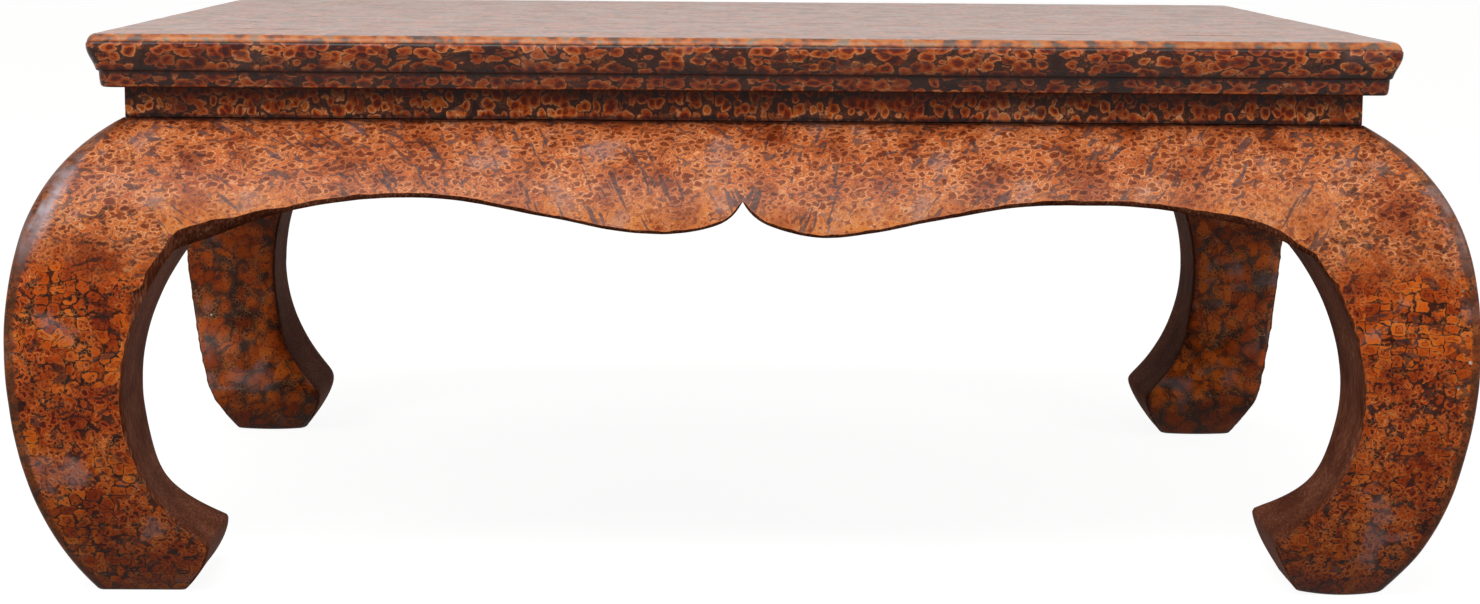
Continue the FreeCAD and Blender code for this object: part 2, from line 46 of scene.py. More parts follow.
# Main sizes in millimetres; offsets are measured outwards from the rectangle halfLength by halfDepth
table = {
    "halfLength": 520.0,
    "halfDepth": 375.0,
    "height": 457.0,
    "frameUnder": 416.4,
    "apronTop": 388.0,
    "spring": 288.0,           # where leg and apron edge meet
    "springSetback": 66.0,
    "shoulderSetback": 13.8,
    "handSeed": 7,             # never 0, which takes the clock as its seed
    "handSwell": 0.55,         # how far hand-shaped faces swell and dip
    "handSwellLength": 75.0,
    "handRipple": 0.22,
    "handRippleLength": 21.0,
    "sharpAngle": 38.0,        # arrises sharper than this many degrees are not smoothed over
    "merge": 0.002,            # points closer than this are one
}
noise.seed_set(table["handSeed"])


def linear(hexText):
    # sRGB hex to linear colour
    channels = [int(hexText[at:at + 2], 16) / 255 for at in (1, 3, 5)]
    return [c / 12.92 if c <= 0.04045 else ((c + 0.055) / 1.055) ** 2.4 for c in channels] + [1.0]


def feed(made, feeds):
    # Inputs of a node: values, sockets, or nodes whose first output is meant. A list fills them in order;
    # for MapRange that is value, from low, from high, to low, to high
    for socket, value in feeds.items() if isinstance(feeds, dict) else enumerate(feeds):
        if isinstance(value, bpy.types.Node):
            value = value.outputs[0]
        if isinstance(value, bpy.types.NodeSocket):
            made.id_data.links.new(value, made.inputs[socket])
        else:
            made.inputs[socket].default_value = value


def add(tree, kind, feeds=(), stops=(), **settings):
    # A node of a kind, which may name its operation too, with its settings, inputs and ramp stops
    kind, _, operation = kind.partition(" ")
    made = tree.nodes.new(kind if "Node" in kind else "ShaderNode" + kind)
    if operation:
        settings["operation"] = operation
    for setting, value in settings.items():
        setattr(made, setting, value)
    feed(made, feeds)
    for number, (spot, hexText) in enumerate(stops):
        elements = made.color_ramp.elements
        element = elements[number] if number < 2 else elements.new(spot)
        element.position = spot
        element.color = linear(hexText)
    return made


camera = {
    "place": (-0.03105, -2.64709, 0.57193),
    "yaw": -0.012255,
    "pitch": 0.144464,
    "roll": 0.007698,
    "lens": 68.26,
}


def buildCamera(values):
    yaw, pitch, roll = values["yaw"], values["pitch"], values["roll"]
    ahead = Vector((-math.sin(yaw) * math.cos(pitch), math.cos(yaw) * math.cos(pitch), -math.sin(pitch)))
    side = Vector((math.cos(yaw), math.sin(yaw), 0))
    up = side.cross(ahead)
    sideRolled = side * math.cos(roll) + up * math.sin(roll)
    upRolled = up * math.cos(roll) - side * math.sin(roll)
    data = bpy.data.cameras.new("studioCamera")
    data.sensor_fit = "HORIZONTAL"
    data.sensor_width = 36.0
    data.lens = values["lens"]
    data.clip_end = 200.0
    made = bpy.data.objects.new("studioCamera", data)
    turn = Matrix((sideRolled, upRolled, -ahead)).transposed()
    made.matrix_world = Matrix.Translation(values["place"]) @ turn.to_4x4()
    scene.collection.objects.link(made)
    scene.camera = made


studio = {
    "floorHalf": 40.0,
    "floorColour": "#706E6C",  # the paper in the lamps' light alone
    "floorGlow": 0.93,         # what the camera and reflections see of it on top of that
    "roomLight": 0.36,
    "lamps": [                 # name, place, aim, width, depth, watts
        ("lampKey", (-0.5, -2.4, 3.3), (0.0, 0.0, 0.3), 2.8, 1.5, 120.0),
        ("lampLeft", (-2.6, -1.6, 2.2), (-0.4, -0.3, 0.3), 0.5, 1.0, 22.0),
        ("lampRight", (3.0, -1.6, 1.6), (0.2, -0.2, 0.25), 1.2, 1.2, 26.0),
    ],
}


def emptyTree(owner):
    owner.use_nodes = True
    owner.node_tree.nodes.clear()
    return partial(add, owner.node_tree)


def seenShare(node):
    # 1 for what the camera sees directly, mirrored or through glass
    rays = node("LightPath").outputs
    seen = node("Math MAXIMUM", [rays["Is Camera Ray"], rays["Is Glossy Ray"]])
    return node("Math MAXIMUM", [seen, rays["Is Transmission Ray"]])


def buildStudio(values):
    reach = values["floorHalf"]
    mesh = bpy.data.meshes.new("studioFloor")
    mesh.from_pydata([(-reach, -reach, 0), (reach, -reach, 0), (reach, reach, 0), (-reach, reach, 0)],
                     [], [(0, 1, 2, 3)])
    floor = bpy.data.objects.new("studioFloor", mesh)
    scene.collection.objects.link(floor)
    paper = bpy.data.materials.new("studioPaper")   # matt paper roll, no gloss
    node = emptyTree(paper)
    seen = seenShare(node)
    glow = node("Math MULTIPLY", [seen, values["floorGlow"]])
    matt = node("BsdfDiffuse", {"Color": linear(values["floorColour"])})
    shine = node("Emission", {"Strength": glow})
    both = node("AddShader", [matt, shine])
    node("OutputMaterial", {"Surface": both})
    mesh.materials.append(paper)

    world = bpy.data.worlds.new("studioRoom")
    scene.world = world
    node = emptyTree(world)
    seen = seenShare(node)
    level = node("MapRange", [seen, 0.0, 1.0, values["roomLight"], 1.0])
    sky = node("Background", {"Color": (1, 1, 1, 1), "Strength": level})
    node("OutputWorld", {"Surface": sky})

    for name, place, aim, width, depth, watts in values["lamps"]:
        data = bpy.data.lights.new(name, "AREA")
        data.shape = "RECTANGLE"
        data.size = width
        data.size_y = depth
        data.energy = watts
        lamp = bpy.data.objects.new(name, data)
        lamp.location = place
        lamp.rotation_euler = (Vector(aim) - Vector(place)).to_track_quat("-Z", "Y").to_euler()
        scene.collection.objects.link(lamp)


buildCamera(camera)
buildStudio(studio)
scene.view_settings.view_transform = "Standard"
print("stage: camera, floor and lamps")


grain = {                      # scales of the coats' noises, per metre
    "zoneEdge": 28.0,
    "speckle": 60.0,           # where dots, chips and rubbing fall
    "strokeTurn": 4.0,
    "rubbed": 70.0,
    "fine": 420.0,
    "blotch": 22.0,
}


def ringPattern(node, place, look):
    # Contour rings of a coat built up in bumps and polished flat: returns colour and level
    cells = node("Mapping", {"Vector": place, "Location": [side * mm for side in look["start"]],
        "Rotation": look["turn"], "Scale": [side * mm for side in look["cell"]]}, vector_type="TEXTURE")
    sway = node("TexNoise", {"Vector": cells, "Scale": look["swayScale"], "Detail": 2.0})
    sway = node("VectorMath SUBTRACT", [sway.outputs["Color"], (0.5, 0.5, 0.5)])
    swayed = node("VectorMath MULTIPLY_ADD", [sway, [look["sway"]] * 3, cells])
    shape = {"Vector": swayed, "Scale": 1.0, "Exponent": look["squareness"],
             "Randomness": look["disorder"]}
    nearest = node("TexVoronoi", shape, feature="F1", distance="MINKOWSKI")
    spread = nearest
    if look["net"]:
        # Islands with rounded corners in a net, instead of rings about a centre
        second = node("TexVoronoi", shape, feature="F2", distance="MINKOWSKI")
        spread = node("Math MULTIPLY_ADD", [spread, -1.0, second])
    lot = node("SeparateColor", {"Color": nearest.outputs["Color"]})
    share = node("MapRange", [lot, 0.0, 1.0, 1 - look["variety"], 1 + look["variety"]])
    lift = look["lift"] - (look["ragged"] + look["patches"]) / 2
    level = node("Math MULTIPLY_ADD", [spread, share, lift])
    for scale, amount in ((look["raggedScale"], look["ragged"]), (look["patchScale"], look["patches"])):
        uneven = node("TexNoise", {"Vector": cells, "Scale": scale, "Detail": 2.0})
        level = node("Math MULTIPLY_ADD", [uneven, amount, level])
    bands = node("ValToRGB", {"Fac": level}, stops=look["bands"])
    lots = node("ValToRGB", {"Fac": lot.outputs[1]}, stops=look["lots"])
    toned = node("Mix", {0: 1.0, 6: bands, 7: lots}, data_type="RGBA", blend_type="MULTIPLY")
    return toned.outputs[2], level


def zoneShare(node, place, height, zone):
    # How far a zone's pattern covers: its mark on the mesh, the heights below a line, and its patches
    factors = []
    if "mark" in zone:
        factors.append(node("Attribute", attribute_name=zone["mark"]).outputs["Fac"])
    if "below" in zone:
        drift = node("TexNoise", {"Vector": place, "Scale": grain["zoneEdge"], "Detail": 2.0})
        line = node("Math MULTIPLY_ADD", [drift, zone["drift"] * mm, height])
        middle = (zone["below"] + zone["drift"] / 2) * mm
        factors.append(node("MapRange", [line, middle + zone["blend"] * mm, middle - zone["blend"] * mm]))
    if "patchScale" in zone:
        patch = node("TexNoise", {"Vector": place, "Scale": zone["patchScale"], "Detail": 3.0})
        factors.append(node("MapRange", [patch, zone["from"], zone["from"] + 0.03, 0.0, zone["most"]]))
    share = factors[0]
    for factor in factors[1:]:
        share = node("Math MULTIPLY", [share, factor])
    return share


def newCoat(name):
    made = bpy.data.materials.new(name)
    made.use_nodes = True
    node = partial(add, made.node_tree)
    return made, node, node("TexCoord").outputs["Object"]


def lacquer(name, look):
    made, node, place = newCoat(name)
    height = node("SeparateXYZ", {"Vector": place}).outputs["Z"]
    normal = node("NewGeometry").outputs["Normal"]
    facing = node("SeparateXYZ", {"Vector": normal}).outputs["Z"]
    colour, level = ringPattern(node, place, look["rings"])

    def layOver(share, top, **settings):
        mixed = node("Mix", {0: share, 6: colour, 7: top}, data_type="RGBA", **settings)
        return mixed.outputs[2]

    for zone in look.get("zones", []):
        zoneColour, zoneLevel = ringPattern(node, place, zone["rings"])
        share = zoneShare(node, place, height, zone)
        colour = layOver(share, zoneColour)
        level = node("Mix", {0: share, 2: level, 3: zoneLevel}, data_type="FLOAT")

    # Small dark red dots with a pale loop round some of them, and a few pale chips
    dots = look["dots"]
    grid = node("TexVoronoi", {"Vector": place, "Scale": 1 / (dots["cell"] * mm)})
    some = node("TexNoise", {"Vector": place, "Scale": grain["speckle"], "Detail": 2.0})
    loop = node("ValToRGB", {"Fac": grid},
        stops=[(0.40, "#000000"), (0.44, "#FFFFFF"), (0.50, "#FFFFFF"), (0.54, "#000000")])
    loopShare = node("MapRange", [some, 0.48, 0.54, 0.0, dots["loops"]])
    loopShare = node("Math MULTIPLY", [loop, loopShare])
    colour = layOver(loopShare, linear(dots["loopColour"]))
    dotShare = node("MapRange", [grid, 0.20, 0.30, dots["strength"], 0.0])
    colour = layOver(dotShare, linear(dots["dotColour"]))
    chips = node("MapRange", [some, dots["chipsFrom"], dots["chipsFrom"] + 0.01])
    colour = layOver(chips, linear(dots["chipColour"]))

    # Long grey-brown strokes where an under-coat shows; their direction wanders
    strokes = look["strokes"]
    wander = node("TexNoise", {"Vector": place, "Scale": grain["strokeTurn"], "Detail": 0.0})
    mirrored = node("VectorMath ABSOLUTE", [place])
    turning = [strokes["wander"] * mm] * 3
    wandered = node("VectorMath MULTIPLY_ADD", [wander.outputs["Color"], turning, mirrored])
    long = node("Mapping", {"Vector": wandered, "Rotation": strokes["turn"],
        "Scale": [side * mm for side in strokes["cell"]]}, vector_type="TEXTURE")
    longNoise = node("TexNoise", {"Vector": long, "Scale": 1.0, "Detail": 2.0, "Distortion": 0.4})
    begin = strokes["from"]
    stroke = node("MapRange", [longNoise, begin, begin + 0.04, 0.0, strokes["strength"]])
    colour = layOver(stroke, linear(strokes["colour"]))

    # Broad patches: redder and browner ones, a painted lilac sheen in places, and shade painted in by
    # height
    tint = node("TexNoise", {"Vector": place, "Scale": look["tintScale"], "Detail": 3.0})
    # Painted sheen: pale lilac patches that stand in for reflected light
    paintedSheen = node("MapRange", [tint, 0.58, 0.70, 0.0, look["paintedSheen"]])
    shade = node("ValToRGB", {"Fac": tint}, stops=look["tints"])
    colour = layOver(1.0, shade, blend_type="MULTIPLY")
    colour = layOver(paintedSheen, linear(look["paintedSheenColour"]))
    # Painted shade by height: darker in the grooves where parts meet and under the moulding's overhang
    low, high = look["toneRange"]
    waver = node("Math MULTIPLY_ADD", [some, look["waver"] * mm, height])
    climb = node("MapRange", [waver, (low + look["waver"] / 2) * mm, (high + look["waver"] / 2) * mm])
    stops = [((spot - low) / (high - low), hexText) for spot, hexText in look["tones"]]
    paintedShadeByHeight = node("ValToRGB", {"Fac": climb}, stops=stops)
    colour = layOver(1.0, paintedShadeByHeight, blend_type="MULTIPLY")

    if "strip" in look:
        # The eased edge of the top is rubbed to a blurred orange and grey
        rubbed = node("TexNoise", {"Vector": place, "Scale": grain["rubbed"], "Detail": 2.0})
        rubbed = node("ValToRGB", {"Fac": rubbed}, stops=look["strip"])
        rise = node("MapRange", [height, look["stripRise"][0] * mm, look["stripRise"][1] * mm, 0.0, 0.9])
        flat = node("MapRange", [facing, 0.93, 0.995, 1.0, 0.0])
        share = node("Math MULTIPLY", [rise, flat])
        colour = layOver(share, rubbed)
        # The flat of the top is painted a dull grey-pink: a painted sheen of the light it reflects
        paintedTopSheen = node("MapRange", [facing, 0.97, 0.995, 0.0, look["paintedTopSheen"]])
        colour = layOver(paintedTopSheen, linear(look["paintedTopSheenColour"]))

    # Arrises: a smooth dark coat on the outer one that is partly painted shade where its rounding turns
    # from the light, orange where a sharp one is rubbed, and a pale painted highlight on a rounder shoulder
    for mark, hexText, cover, least in look["arrises"]:
        edge = node("Attribute", attribute_name=mark)
        patchy = node("MapRange", [some, 0.30, 0.62, cover, cover * least])
        share = node("Math MULTIPLY", [edge.outputs["Fac"], patchy])
        colour = layOver(share, linear(hexText))

    # Faces turned downwards are plainer and darker
    under = node("MapRange", [facing, -0.5, -0.8])
    plain = node("ValToRGB", {"Fac": some}, stops=look["plain"])
    colour = layOver(under, plain)

    sheen = node("MapRange", [tint, 0.3, 0.7, *look["rough"]])
    fine = node("TexNoise", {"Vector": place, "Scale": grain["fine"], "Detail": 2.0})
    relief = node("Math MULTIPLY_ADD", [fine, 0.25, level])
    bump = node("Bump", {"Strength": look["relief"], "Distance": 0.3 * mm, "Height": relief})
    feed(made.node_tree.nodes["Principled BSDF"], {"Base Color": colour, "Roughness": sheen, "Normal": bump,
        "IOR": 1.5, "Specular IOR Level": look["gloss"], "Coat Weight": look["coat"],
        "Coat Roughness": look["coatRoughness"]})
    return made


def brushedCoat(name, look):
    # Wood or a thin plain coat over it: long fibres or brush strokes and a dull, uneven sheen
    made, node, place = newCoat(name)
    fibres = node("Mapping", {"Vector": place, "Scale": [side * mm for side in look["fibre"]]},
        vector_type="TEXTURE")
    streak = node("TexNoise", {"Vector": fibres, "Scale": 1.0, "Detail": 4.0, "Distortion": 0.4})
    colour = node("ValToRGB", {"Fac": streak}, stops=look["tones"])
    blotch = node("TexNoise", {"Vector": place, "Scale": grain["blotch"], "Detail": 3.0})
    shade = node("ValToRGB", {"Fac": blotch}, stops=[(0.35, "#B8A89C"), (0.65, "#FFFFFF")])
    colour = node("Mix", {0: 1.0, 6: colour, 7: shade}, data_type="RGBA", blend_type="MULTIPLY")
    dull = node("MapRange", [streak, 0.3, 0.7, *look["rough"]])
    bump = node("Bump", {"Strength": 0.4, "Distance": 0.25 * mm, "Height": streak})
    feed(made.node_tree.nodes["Principled BSDF"], {"Base Color": colour.outputs[2], "Roughness": dull,
        "Normal": bump, "IOR": 1.5, "Specular IOR Level": look["gloss"]})
    return made


undersideLook = {"fibre": (4.0, 60.0, 4.0), "rough": (0.55, 0.72), "gloss": 0.25,
                 "tones": [(0.3, "#33201A"), (0.5, "#452B20"), (0.7, "#5C3B2A")]}
dowelLook = {"fibre": (1.2, 1.2, 22.0), "rough": (0.5, 0.68), "gloss": 0.35,
             "tones": [(0.3, "#7A5636"), (0.5, "#97704A"), (0.7, "#B58C60")]}
# Thin matt coat on the sides turned to the inside, brushed on up and down; its dark tones are partly
# painted shade
insideLookAndShade = {"fibre": (1.6, 1.6, 14.0), "rough": (0.62, 0.8), "gloss": 0.02,
              "tones": [(0.30, "#42241A"), (0.45, "#683826"), (0.55, "#78432E"), (0.70, "#A07056")]}

# Patterns: cell is the mean spacing in millimetres; bands are stops from the net or ring centre outwards
apronRings = {
    "net": False, "start": (0, 0, 0), "turn": (0, -0.16, 0), "cell": (8.0, 7.2, 5.0),
    "swayScale": 0.85, "sway": 1.25, "squareness": 2.0, "disorder": 1.0, "variety": 0.32, "lift": 0.0,
    "ragged": 0.36, "raggedScale": 2.3, "patchScale": 0.14, "patches": 0.16,
    "bands": [(0.0, "#783820"), (0.27, "#864624"), (0.345, "#9A5830"), (0.385, "#C8865C"),
              (0.42, "#DCA680"), (0.465, "#CE8E5C"), (0.51, "#C26A30"), (0.62, "#C0662E"),
              (0.66, "#D69C72"), (0.71, "#B66C40"), (0.78, "#90583C"), (0.90, "#78544A")],
    "lots": [(0.0, "#C8B4AC"), (0.3, "#F0E6E0"), (0.7, "#FFFFFF")],
}
lobeRings = apronRings | {
    "start": (5, 2, 7), "cell": (5.4, 5.4, 4.6), "sway": 1.0, "ragged": 0.4,
    "bands": [(0.0, "#A04C20"), (0.26, "#B45E28"), (0.36, "#D4925C"), (0.43, "#CC7834"),
              (0.60, "#CE7A38"), (0.68, "#DCA476"), (0.76, "#B06034"), (0.95, "#8A4E34")],
}
blockRings = apronRings | {
    "net": True, "turn": (0, 0, 0), "cell": (11.0, 11.0, 8.8), "squareness": 5.0, "disorder": 0.7,
    "sway": 0.7, "swayScale": 0.9, "variety": 0.25, "ragged": 0.30, "patches": 0.22, "patchScale": 0.35,
    "lift": 0.02,
    "bands": [(0.0, "#2E1A12"), (0.06, "#40220F"), (0.095, "#B46E38"), (0.125, "#DE7426"),
              (0.20, "#D46816"), (0.32, "#CE6010"), (0.36, "#D89248"), (0.40, "#8E360A"),
              (0.55, "#C05612")],
    "lots": [(0.0, "#B08C78"), (0.4, "#E8D4C4"), (0.75, "#FFFFFF")],
}
curlRings = apronRings | {
    "turn": (0, 0.4, 0), "start": (9, 4, 2), "cell": (7.2, 7.2, 6.6), "variety": 0.30,
    "sway": 1.4, "swayScale": 0.9, "ragged": 0.34, "patches": 0.20, "patchScale": 0.3,
    "bands": [(0.0, "#5C1C0A"), (0.22, "#7E2A0C"), (0.30, "#B2501A"), (0.34, "#DC945A"),
              (0.38, "#C86C2A"), (0.42, "#B85014"), (0.54, "#C25612"), (0.58, "#D88E50"),
              (0.62, "#A24418"), (0.72, "#5A301E"), (0.92, "#40241A")],
    "lots": [(0.0, "#BCA090"), (0.4, "#ECDCD0"), (0.75, "#FFFFFF")],
}
patchRings = apronRings | {
    "turn": (0, 0.1, 0), "cell": (15.0, 15.0, 17.0), "sway": 1.2, "swayScale": 0.8, "variety": 0.35,
    "ragged": 0.62, "raggedScale": 1.5, "patches": 0.5, "patchScale": 0.4,
    "bands": [(0.0, "#CC6620"), (0.34, "#C46020"), (0.46, "#AE541E"), (0.52, "#804220"),
              (0.57, "#B46634"), (0.62, "#8E4822"), (0.74, "#64402E"), (0.95, "#4E3830")],
    "lots": [(0.0, "#B09C94"), (0.4, "#ECE0D8"), (0.75, "#FFFFFF")],
}
edgeRings = apronRings | {
    "turn": (0, 0, 0), "cell": (12.0, 12.0, 7.4), "squareness": 2.4, "ragged": 0.34, "sway": 1.1,
    "raggedScale": 2.0, "swayScale": 0.8, "variety": 0.26, "patches": 0.20, "patchScale": 0.3,
    "bands": [(0.0, "#5E200E"), (0.22, "#702A12"), (0.28, "#A4481C"), (0.34, "#C8682A"),
              (0.44, "#C87032"), (0.475, "#E4AA80"), (0.52, "#D08E5E"), (0.56, "#844628"),
              (0.61, "#4C2C20"), (0.85, "#44281E"), (1.0, "#38221C")],
    "lots": [(0.0, "#98807A"), (0.35, "#E0D0C8"), (0.6, "#FFFFFF")],
}
waistRings = edgeRings | {
    "cell": (7.6, 7.6, 8.8), "start": (3, 1, 2),
    "bands": [(0.0, "#6E260E"), (0.22, "#84300F"), (0.28, "#BE541A"), (0.34, "#E0782C"),
              (0.44, "#DC7E34"), (0.48, "#F4BE90"), (0.53, "#E8A878"), (0.57, "#9C542E"),
              (0.63, "#5A3628"), (0.85, "#523024"), (1.0, "#402A22")],
}

apronStrokes = {"cell": (5, 12, 36), "turn": (0, 0.75, 0), "from": 0.605, "strength": 0.75, "wander": 110.0,
                "colour": "#4A3E44"}
legStrokes = apronStrokes | {
    "cell": (13, 13, 9), "turn": (0, 0.3, 0), "from": 0.60, "strength": 0.7, "colour": "#3C2C2A",
}
edgeStrokes = apronStrokes | {
    "cell": (24, 24, 8), "turn": (0, 0, 0), "from": 0.61, "strength": 0.7, "wander": 0.0,
    "colour": "#40302E",
}

dotColours = {"loopColour": "#C08450", "dotColour": "#561A0C", "chipColour": "#D8C8BC"}

# Mottled lacquer over wood: a satin coat, so the pattern stays sharp under a soft veil of light
apronLook = {
    "rings": apronRings, "strokes": apronStrokes,
    "zones": [{"rings": lobeRings, "below": 324.0, "drift": 60.0, "blend": 12.0}],
    "dots": dict(dotColours, cell=4.4, strength=0.25, loops=0.25, chipsFrom=0.9),
    # Lilac painted sheen, laid in patches
    "paintedSheen": 0.38, "paintedSheenColour": "#8C7C80",
    "tintScale": 24.0, "tints": [(0.32, "#BE9C88"), (0.45, "#EEDCCE"), (0.58, "#FFFFFF")],
    "toneRange": (300.0, 388.0),
    # Darker at the very top: painted shade of the groove under the waist
    "tones": [(300.0, "#FFFFFF"), (350.0, "#FCF6F0"), (378.0, "#ECE0D8"), (384.0, "#D4C4BA"),
              (386.2, "#9A8C88"), (387.0, "#5A5054"), (388.0, "#5A5054")],
    "waver": 4.0,
    "arrises": [("worn", "#C0682E", 0.5, 0.55)],
    "plain": [(0.30, "#38201A"), (0.55, "#4C2C20"), (0.72, "#6A4030")],
    "rough": (0.30, 0.44), "relief": 0.45, "gloss": 0.12, "coat": 0.0, "coatRoughness": 0.22,
}
legLook = apronLook | {
    "zones": [{"rings": curlRings, "below": 280.0, "drift": 90.0, "blend": 14.0},
              {"rings": blockRings, "below": 275.0, "drift": 90.0, "blend": 14.0, "patchScale": 16.0,
               "from": 0.49, "most": 0.9},
              {"rings": patchRings, "mark": "behind"}],
    "strokes": legStrokes, "dots": dict(dotColours, cell=4.2, strength=0.6, loops=0.5, chipsFrom=0.76),
    "toneRange": (0.0, 388.0),
    # Darker at the top: painted shade where the leg meets the waist
    "tones": [(0.0, "#FFFFFF"), (250.0, "#FFFAF4"), (330.0, "#FFF8F0"),
              (376.0, "#E8DCD4"), (388.0, "#86787A")],
    # The outer corner's dark coat is partly painted shade
    "arrises": [("worn", "#B4602A", 0.5, 0.55), ("arris", "#4E2E1C", 0.92, 0.6),
                # Pale lilac painted highlight on the front left leg's shoulder
                ("paintedHighlight", "#BCB0B6", 0.95, 0.0)],
    "gloss": 0.05, "coat": 0.1, "coatRoughness": 0.2,
}
frameLook = apronLook | {
    "rings": edgeRings, "strokes": edgeStrokes, "waver": 1.2, "gloss": 0.24, "paintedSheen": 0.2, "paintedTopSheen": 0.6,
    # Grey-pink painted sheen on the flat of the top
    "paintedTopSheenColour": "#967E74",
    "stripRise": (450.8, 452.0),
    "strip": [(0.36, "#544840"), (0.45, "#A05428"), (0.55, "#B8703C"), (0.66, "#80705F")],
    "toneRange": (413.0, 458.0),
    # Painted shade: a little darker on the ledge, dark in the hollow of the lower face, and a darker line
    # under the eased top edge that is partly the lacquer's own colour and partly painted shade
    "tones": [(413.0, "#FFF4EC"), (414.8, "#F8E8DC"), (416.4, "#B4A094"), (423.0, "#A8948A"),
              (425.6, "#6C5852"), (427.6, "#604C47"), (429.4, "#9C8A80"), (432.4, "#E4D4C8"),
              (437.0, "#F8ECE0"), (449.0, "#E8D8CC"), (450.2, "#A08C80"), (451.0, "#A08C80"),
              (451.8, "#FFFFFF")],
}
waistLook = frameLook | {
    "rings": waistRings, "toneRange": (388.0, 417.0), "waver": 7.0, "gloss": 0.15,
    # Painted shade: dark at the foot, in the groove above the apron, and darker towards the top under the
    # moulding's overhang
    "tones": [(388.0, "#6E5E5C"), (390.4, "#78686A"), (392.4, "#F0E0D4"), (402.5, "#FFFAF4"),
              (405.5, "#D0BCB0"), (408.5, "#968276"), (417.0, "#867268")],
}
del waistLook["strip"]

lacquers = {
    "leg_lacquer": lacquer("legMottledLacquer", legLook),
    "apron_lacquer": lacquer("apronMottledLacquer", apronLook),
    "frame_lacquer": lacquer("edgeRingLacquer", frameLook),
    "panel_lacquer": lacquer("panelRingLacquer", frameLook),
    "waist_lacquer": lacquer("waistRingLacquer", waistLook),
    "underside_lacquer": brushedCoat("undersideLacquer", undersideLook),
    "dowel_wood": brushedCoat("dowelWood", dowelLook),
    "inside": brushedCoat("insideBrushedLacquerAndShade", insideLookAndShade),
}
print("stage: materials")


def arcFromLevel(level, far):
    # Centre of the arc through both points that is upright (plumb) at level
    run, rise = far[0] - level[0], far[1] - level[1]
    return level[0] + (run * run + rise * rise) / (2 * run), level[1]


def arcFromSmooth(shared, far, neighbour):
    # Centre of the arc that carries on smoothly at shared from an arc centred on neighbour
    length = math.dist(shared, neighbour)
    normal = ((neighbour[0] - shared[0]) / length, (neighbour[1] - shared[1]) / length)
    reach = (far[0] - shared[0]) * normal[0] + (far[1] - shared[1]) * normal[1]
    radius = math.dist(shared, far) ** 2 / (2 * reach)
    return shared[0] + normal[0] * radius, shared[1] + normal[1] * radius


def offsetOnArc(height, through, centre):
    # The outer side of the arc at a height
    radius = math.dist(through, centre)
    return centre[0] + math.sqrt(max(radius * radius - (height - centre[1]) ** 2, 0))


leg = {
    "soleOuter": (10.7, 0.0),
    "calf": (57.92, 105.57),
    "belly": (69.0, 207.0),
    "shoulder": (59.23, 292.79),
    "top": (-13.8, 388.0),
    "springInner": (-66.0, 288.0),
    "hollow": (-24.2, 168.0),
    "toeTop": 46.0,
    "soleInner": (-60.5, 0.0),
    "carve": 7.5,              # the inner corner is carved away above the toe
    "carveHeight": 82.0,
    "carveRun": 36.0,
    "outerArris": 4.5,
    "widestCut": 0.4,          # of the leg's thickness
    "leastCut": 0.12,          # what is left of the cut above the apron's edge
    "softSpread": 46.0,        # the front left leg's shoulder is rubbed rounder
    "softHeight": 322.0,
    "fullySoft": 8.0,
    "paintedHighlightSpread": 30.0,       # and a painted highlight lies there
    "paintWidth": 3.2,         # dark coat beside the outer corner's rounding, partly painted shade
    "paintFade": 1.8,
    "wornWidth": 1.5,          # rubbed line beside the arris of the hollow
    "wornFade": 26.0,
    "sideArris": 1.6,
    "innerArris": 6.0,
    "springCutRun": 70.0,      # the cut beside the hollow narrows below the apron's edge
    "arrisWobble": 1.9,        # the arris beside the hollow is uneven
    "wobbleLength": 9.0,
    "wobbleFade": 12.0,
    "soleMiddle": -23.0,
    "step": 3.6,
    "closest": 0.3,            # least share of that step
    "soleShares": (0.0, 0.08, 0.25, 0.5, 1.0),
    "aboveSole": 1.0,
    "lastCuts": (0.6, 0.4),    # below the apron's top: none is started after the first, the second is last
    "toeFine": 7.0,            # closer cuts this near the toe, and this near the apron's edge
    "springFine": 8.0,
    "sideCuts": 9,
    "nearRowsRun": 14.0,       # shorter sides draw their rows beside the arrises closer together
    "post": (-79.0, -42.0),
    "blockFoot": (302.0, 20.0),
}
bellyLow = arcFromLevel(leg["belly"], leg["calf"])
calfArc = arcFromSmooth(leg["calf"], leg["soleOuter"], bellyLow)
bellyHigh = arcFromLevel(leg["belly"], leg["shoulder"])
shoulderArc = arcFromSmooth(leg["shoulder"], leg["top"], bellyHigh)
hollowHigh = arcFromLevel(leg["hollow"], leg["springInner"])


def outerAt(height):
    if height < leg["calf"][1]:
        return offsetOnArc(height, leg["calf"], calfArc)
    if height < leg["belly"][1]:
        return offsetOnArc(height, leg["belly"], bellyLow)
    if height < leg["shoulder"][1]:
        return offsetOnArc(height, leg["belly"], bellyHigh)
    return offsetOnArc(height, leg["shoulder"], shoulderArc)


def mitreAt(height):
    # Slanting joint between leg and apron
    share = (height - table["spring"]) / (table["apronTop"] - table["spring"])
    return -table["springSetback"] + share * (table["springSetback"] - table["shoulderSetback"])


def bell(value, middle, width):
    return math.exp(-((value - middle) / width) ** 2)


def within(share):
    return min(max(share, 0.0), 1.0)


def innerAt(height, toeTip, toeBulge):
    if height >= table["spring"]:
        return mitreAt(height)
    if height >= leg["hollow"][1]:
        return offsetOnArc(height, leg["hollow"], hollowHigh)
    share = height / toeTip[1]
    below = leg["soleInner"][0] + share * (toeTip[0] - leg["soleInner"][0])
    below -= toeBulge * 4 * share * max(1 - share, 0.0)
    above = offsetOnArc(height, leg["hollow"], arcFromLevel(leg["hollow"], toeTip))
    return (below + above + math.hypot(below - above, toeTip[2])) / 2


def handShaped(spot):
    # Slight swell and ripple of a face worked by hand; the same everywhere, so joints stay closed
    slow = noise.noise_vector(spot / table["handSwellLength"])
    quick = noise.noise_vector(spot / table["handRippleLength"] + Vector((31.0, 7.0, 3.0)))
    return spot + (slow * table["handSwell"] + quick * table["handRipple"])


